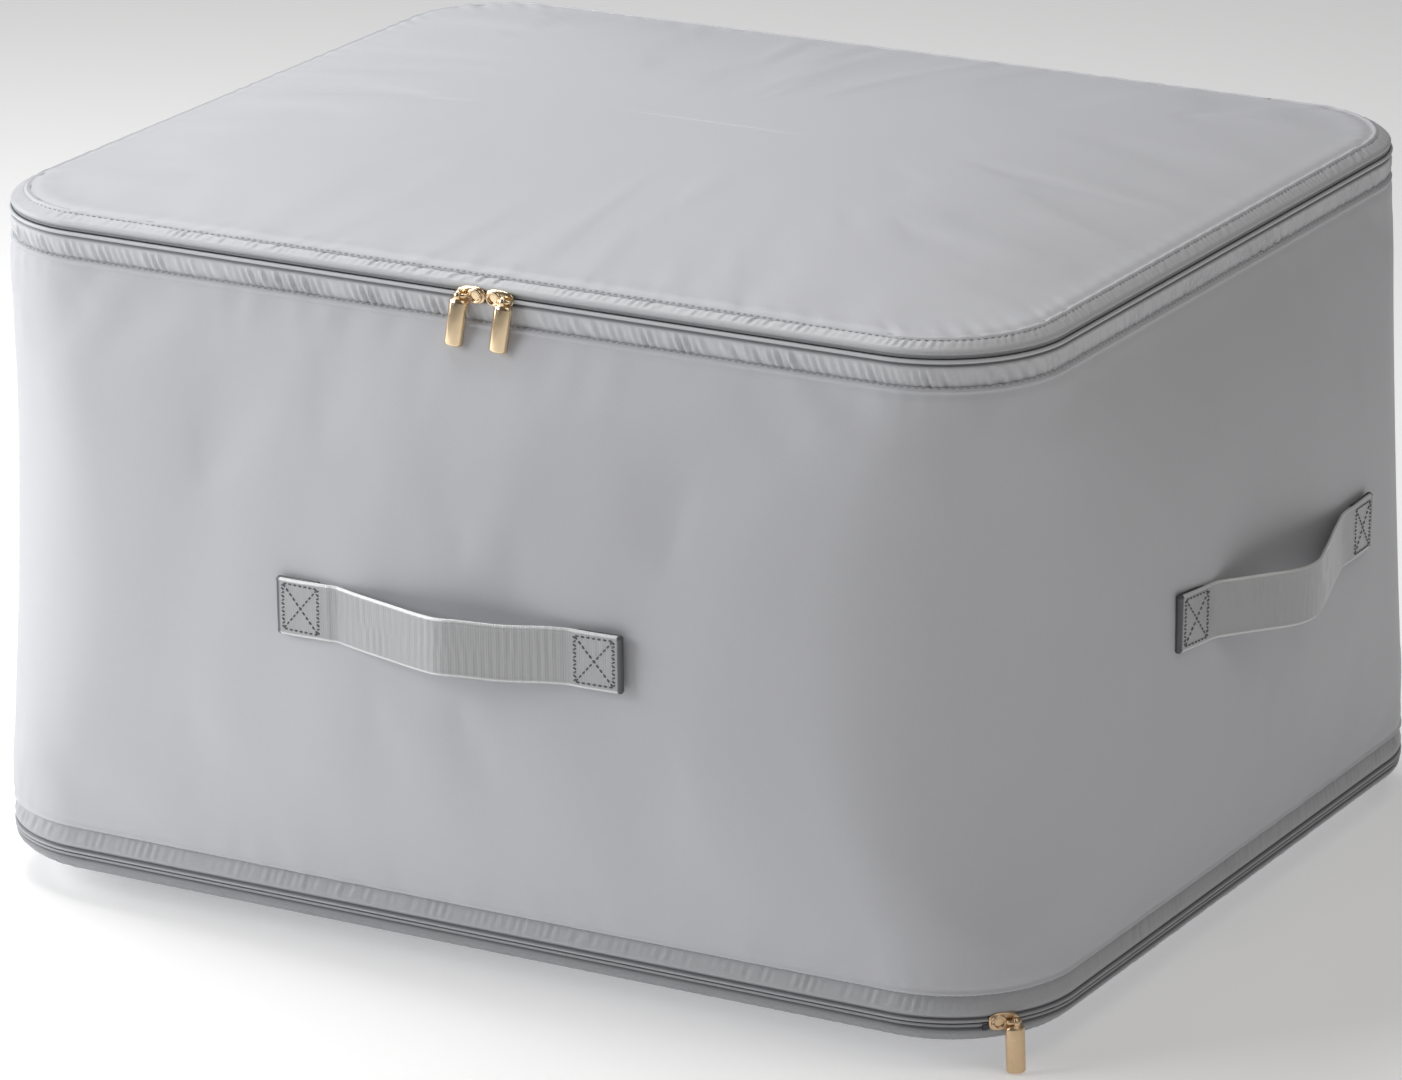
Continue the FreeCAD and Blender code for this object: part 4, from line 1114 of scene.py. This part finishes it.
def slider(name, nose, place, material, node_name):
    """A zip slider: two plates, the post between them, an eyelet and the arch that holds the pull."""
    front = [(0.93, 0.7), (1.0, 0.3), (1.0, -0.6), (0.97, -0.95), (0.9, -1.25), (0.6, -1.45), (0.2, -1.5)]
    back = [(0.8, 5.9), (0.86, 6.2), (0.86, 6.9), (0.8, 7.2), (0.3, 7.3)]
    post = [(nose * 5.6, y, 0.0) for y in (-0.4, 2.5, 6.4)]
    turn = full_turn(40)
    eyelet = stacked(nose * 2.9 + 3.3 * np.cos(turn), -1.7, 3.1 * np.sin(turn))
    arch = [(-0.6, -1.6), (-1.0, -3.2), (-2.3, -4.6), (-4.4, -5.0), (-6.2, -4.7), (-7.4, -3.4), (-7.5, -1.9),
            (-7.2, -1.0)]
    arch = curve_through([(nose * x, y, 0.0) for x, y in arch], 36)
    parts = [rings_part([plate_ring(scale, y, nose) for scale, y in rows]) for rows in (front, back)]
    parts += [tube(post, (0.8, 0.5)), tube(eyelet, (0.95, 0.95), wrap=True), tube(arch, (0.85, 1.15))]
    return assembled(name, parts, place, material, node_name)


def pull(name, place, lean, swing, material, node_name):
    """A zip pull: a bar with a rounded face under a ring that turns on the slider's arch.

    The bar swings along the chain and the whole pull leans outwards, in degrees.
    """
    half, back, depth = 5.0, 1.5, 4.3
    turn = np.linspace(0, math.pi, 25)
    face = stacked(half * np.cos(turn), back - depth * np.sin(turn) ** 0.9)
    rear = stacked(np.linspace(-half, half, 9)[1:-1] * 0.97, back + 0.15)
    section = np.concatenate([face, rear])
    middle = np.array([0, 0.2])
    rows = [(-1.5, 0.55), (-1.9, 0.8), (-2.6, 0.94), (-3.6, 1.0), (-14, 1.0), (-24.2, 1.0), (-25.0, 0.97),
            (-25.4, 0.9)]
    bar_points, bar_faces = rings_part([np.column_stack([middle + (section - middle) * scale,
                                                         np.full(len(section), z)]) for z, scale in rows])
    cos, sin = math.cos(math.radians(swing)), math.sin(math.radians(swing))
    bar_points = bar_points @ np.array([[cos, 0, -sin], [0, 1, 0], [sin, 0, cos]]).T
    turn, sides = full_turn(28), full_turn(12)[:, None]
    radial = stacked(0.0, np.cos(turn), np.sin(turn))[:, None]
    loop = radial * (2.0 + 0.75 * np.cos(sides)) + np.array([1.5, 0, 0]) * np.sin(sides)
    loop_points, loop_faces = rings_part(loop, wrap=True)
    cos, sin = math.cos(math.radians(lean)), math.sin(math.radians(lean))
    leaning = np.array([[1, 0, 0], [0, cos, sin], [0, -sin, cos]])
    parts = [(bar_points @ leaning.T, bar_faces), (loop_points @ leaning.T, loop_faces)]
    return assembled(name, parts, place, material, node_name)


PULL_OFFSET, FOOT_SLIDER_ANGLE = 4.6, math.radians(-40.5)
for word, nose in (("left", 1), ("right", -1)):
    low, high = node_box(f"top_{word}_slider")
    origin = np.array([(low[0] + high[0]) / 2, -seam_high[1], top_loop.height])
    slider(f"{word}_zip_slider", nose, turned_frame(origin, 0), gold_bright, f"top_{word}_slider")
    pivot = origin + np.array([-nose * PULL_OFFSET, -PULL_OFFSET, 0])
    pull(f"{word}_zip_pull", turned_frame(pivot, 0), 5.0, -7.0, gold_bright, f"top_{word}_pull")

foot_turn = FOOT_SLIDER_ANGLE + math.pi / 2
outward = np.array([math.cos(FOOT_SLIDER_ANGLE), math.sin(FOOT_SLIDER_ANGLE), 0])
ahead = np.array([math.cos(foot_turn), math.sin(foot_turn), 0])
corner_middle = np.array([foot_high[0] - FOOT_CORNER, FOOT_CORNER - foot_high[1], foot_loop.height])
foot_origin = corner_middle + outward * FOOT_CORNER
slider("foot_zip_slider", -1, turned_frame(foot_origin, foot_turn), gold_soft, "foot_slider")
foot_pivot = foot_origin + ahead * PULL_OFFSET + outward * PULL_OFFSET
pull("foot_zip_pull", turned_frame(foot_pivot, foot_turn), 4.0, 0.0, gold_soft, "foot_pull")

for node_name in ("top_zip_stops", "foot_zip_stop"):
    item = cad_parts[node_name]
    item.data.materials.clear()
    item.data.materials.append(stop_metal)


# ---- floor, light and camera

FLOOR_HALF, FLOOR_LEVEL = 20, -0.0005
floor_paint, _, floor_shader = new_material("floor_paint", (0.86, 0.86, 0.86), 0.9, specular=0.1)
floor_shader.inputs["Emission Color"].default_value = (1.0, 1.0, 1.0, 1)
floor_shader.inputs["Emission Strength"].default_value = 0.25
floor_mesh = bpy.data.meshes.new("studio_floor")
floor_mesh.from_pydata([(x * FLOOR_HALF, y * FLOOR_HALF, 0) for x, y in ((-1, -1), (1, -1), (1, 1), (-1, 1))],
                       [], [(0, 1, 2, 3)])
floor_mesh.materials.append(floor_paint)
floor = add_object("studio_floor", floor_mesh)
floor.location = (0, 0, FLOOR_LEVEL)


def area_light(name, place, target, size, watts, colour=(1, 1, 1)):
    """A soft rectangular light aimed at a point; lengths in metres."""
    data = bpy.data.lights.new(name, "AREA")
    data.shape = "RECTANGLE"
    data.size, data.size_y = size
    data.energy = watts
    data.color = colour
    lamp = add_object(name, data)
    lamp.location = place
    aim = Vector(target) - Vector(place)
    lamp.rotation_euler = aim.to_track_quat("-Z", "Y").to_euler()


area_light("key_left", (-1.25, -1.25, 0.95), (-0.1, -0.1, 0.2), (0.9, 1.0), 13.2)
area_light("far_left", (-2.0, -0.4, 0.8), (-0.1, 0, 0.2), (1.0, 1.2), 16.5)
area_light("top_left", (-0.75, 0.15, 1.7), (-0.05, 0, 0.3), (1.1, 1.1), 19)
area_light("top_right", (0.95, -0.35, 1.6), (0.25, 0, 0.2), (0.9, 0.9), 4.1, (1.0, 0.96, 0.9))
area_light("side_fill", (2.2, -0.9, 1.1), (0.2, 0, 0.2), (1.4, 1.4), 2.3, (1.0, 0.94, 0.86))

world = bpy.data.worlds.new("studio_air")
world.use_nodes = True
background = world.node_tree.nodes["Background"]
background.inputs["Color"].default_value = (1.0, 1.0, 1.0, 1)
background.inputs["Strength"].default_value = 0.12
bpy.context.scene.world = world
bpy.context.scene.view_settings.view_transform = "Standard"

# the camera: focal length in pixels of a frame that is FRAME_WIDTH wide, angles in degrees, lengths in mm
FRAME_WIDTH, SENSOR = 1402, 36
FOCAL, PITCH, YAW, ROLL = 7223.69, 18.44, 29.96, -0.72
CENTRE_RIGHT, CENTRE_UP, DISTANCE, AIM_HEIGHT = 5.36, 41.58, 3799.81, 204.0


def add_camera():
    """The scene's camera, aimed at the box's upright axis and then moved sideways in its own plane."""
    yaw, pitch, roll = (math.radians(angle) for angle in (YAW, PITCH, ROLL))
    back = Vector((math.sin(yaw) * math.cos(pitch), -math.cos(yaw) * math.cos(pitch), math.sin(pitch)))
    right = (-back).cross(Vector((0, 0, 1))).normalized()
    up = right.cross(-back)
    turned_right = right * math.cos(roll) + up * math.sin(roll)
    turned_up = up * math.cos(roll) - right * math.sin(roll)
    place = Vector((0, 0, AIM_HEIGHT)) + back * DISTANCE - turned_right * CENTRE_RIGHT - turned_up * CENTRE_UP
    axes = Matrix((turned_right, turned_up, back)).transposed()
    data = bpy.data.cameras.new("photo_camera")
    data.sensor_width = SENSOR
    data.lens = FOCAL * SENSOR / FRAME_WIDTH
    data.clip_end = 100
    camera = add_object("photo_camera", data)
    camera.matrix_world = Matrix.Translation(place * MM) @ axes.to_4x4()
    bpy.context.scene.camera = camera


add_camera()
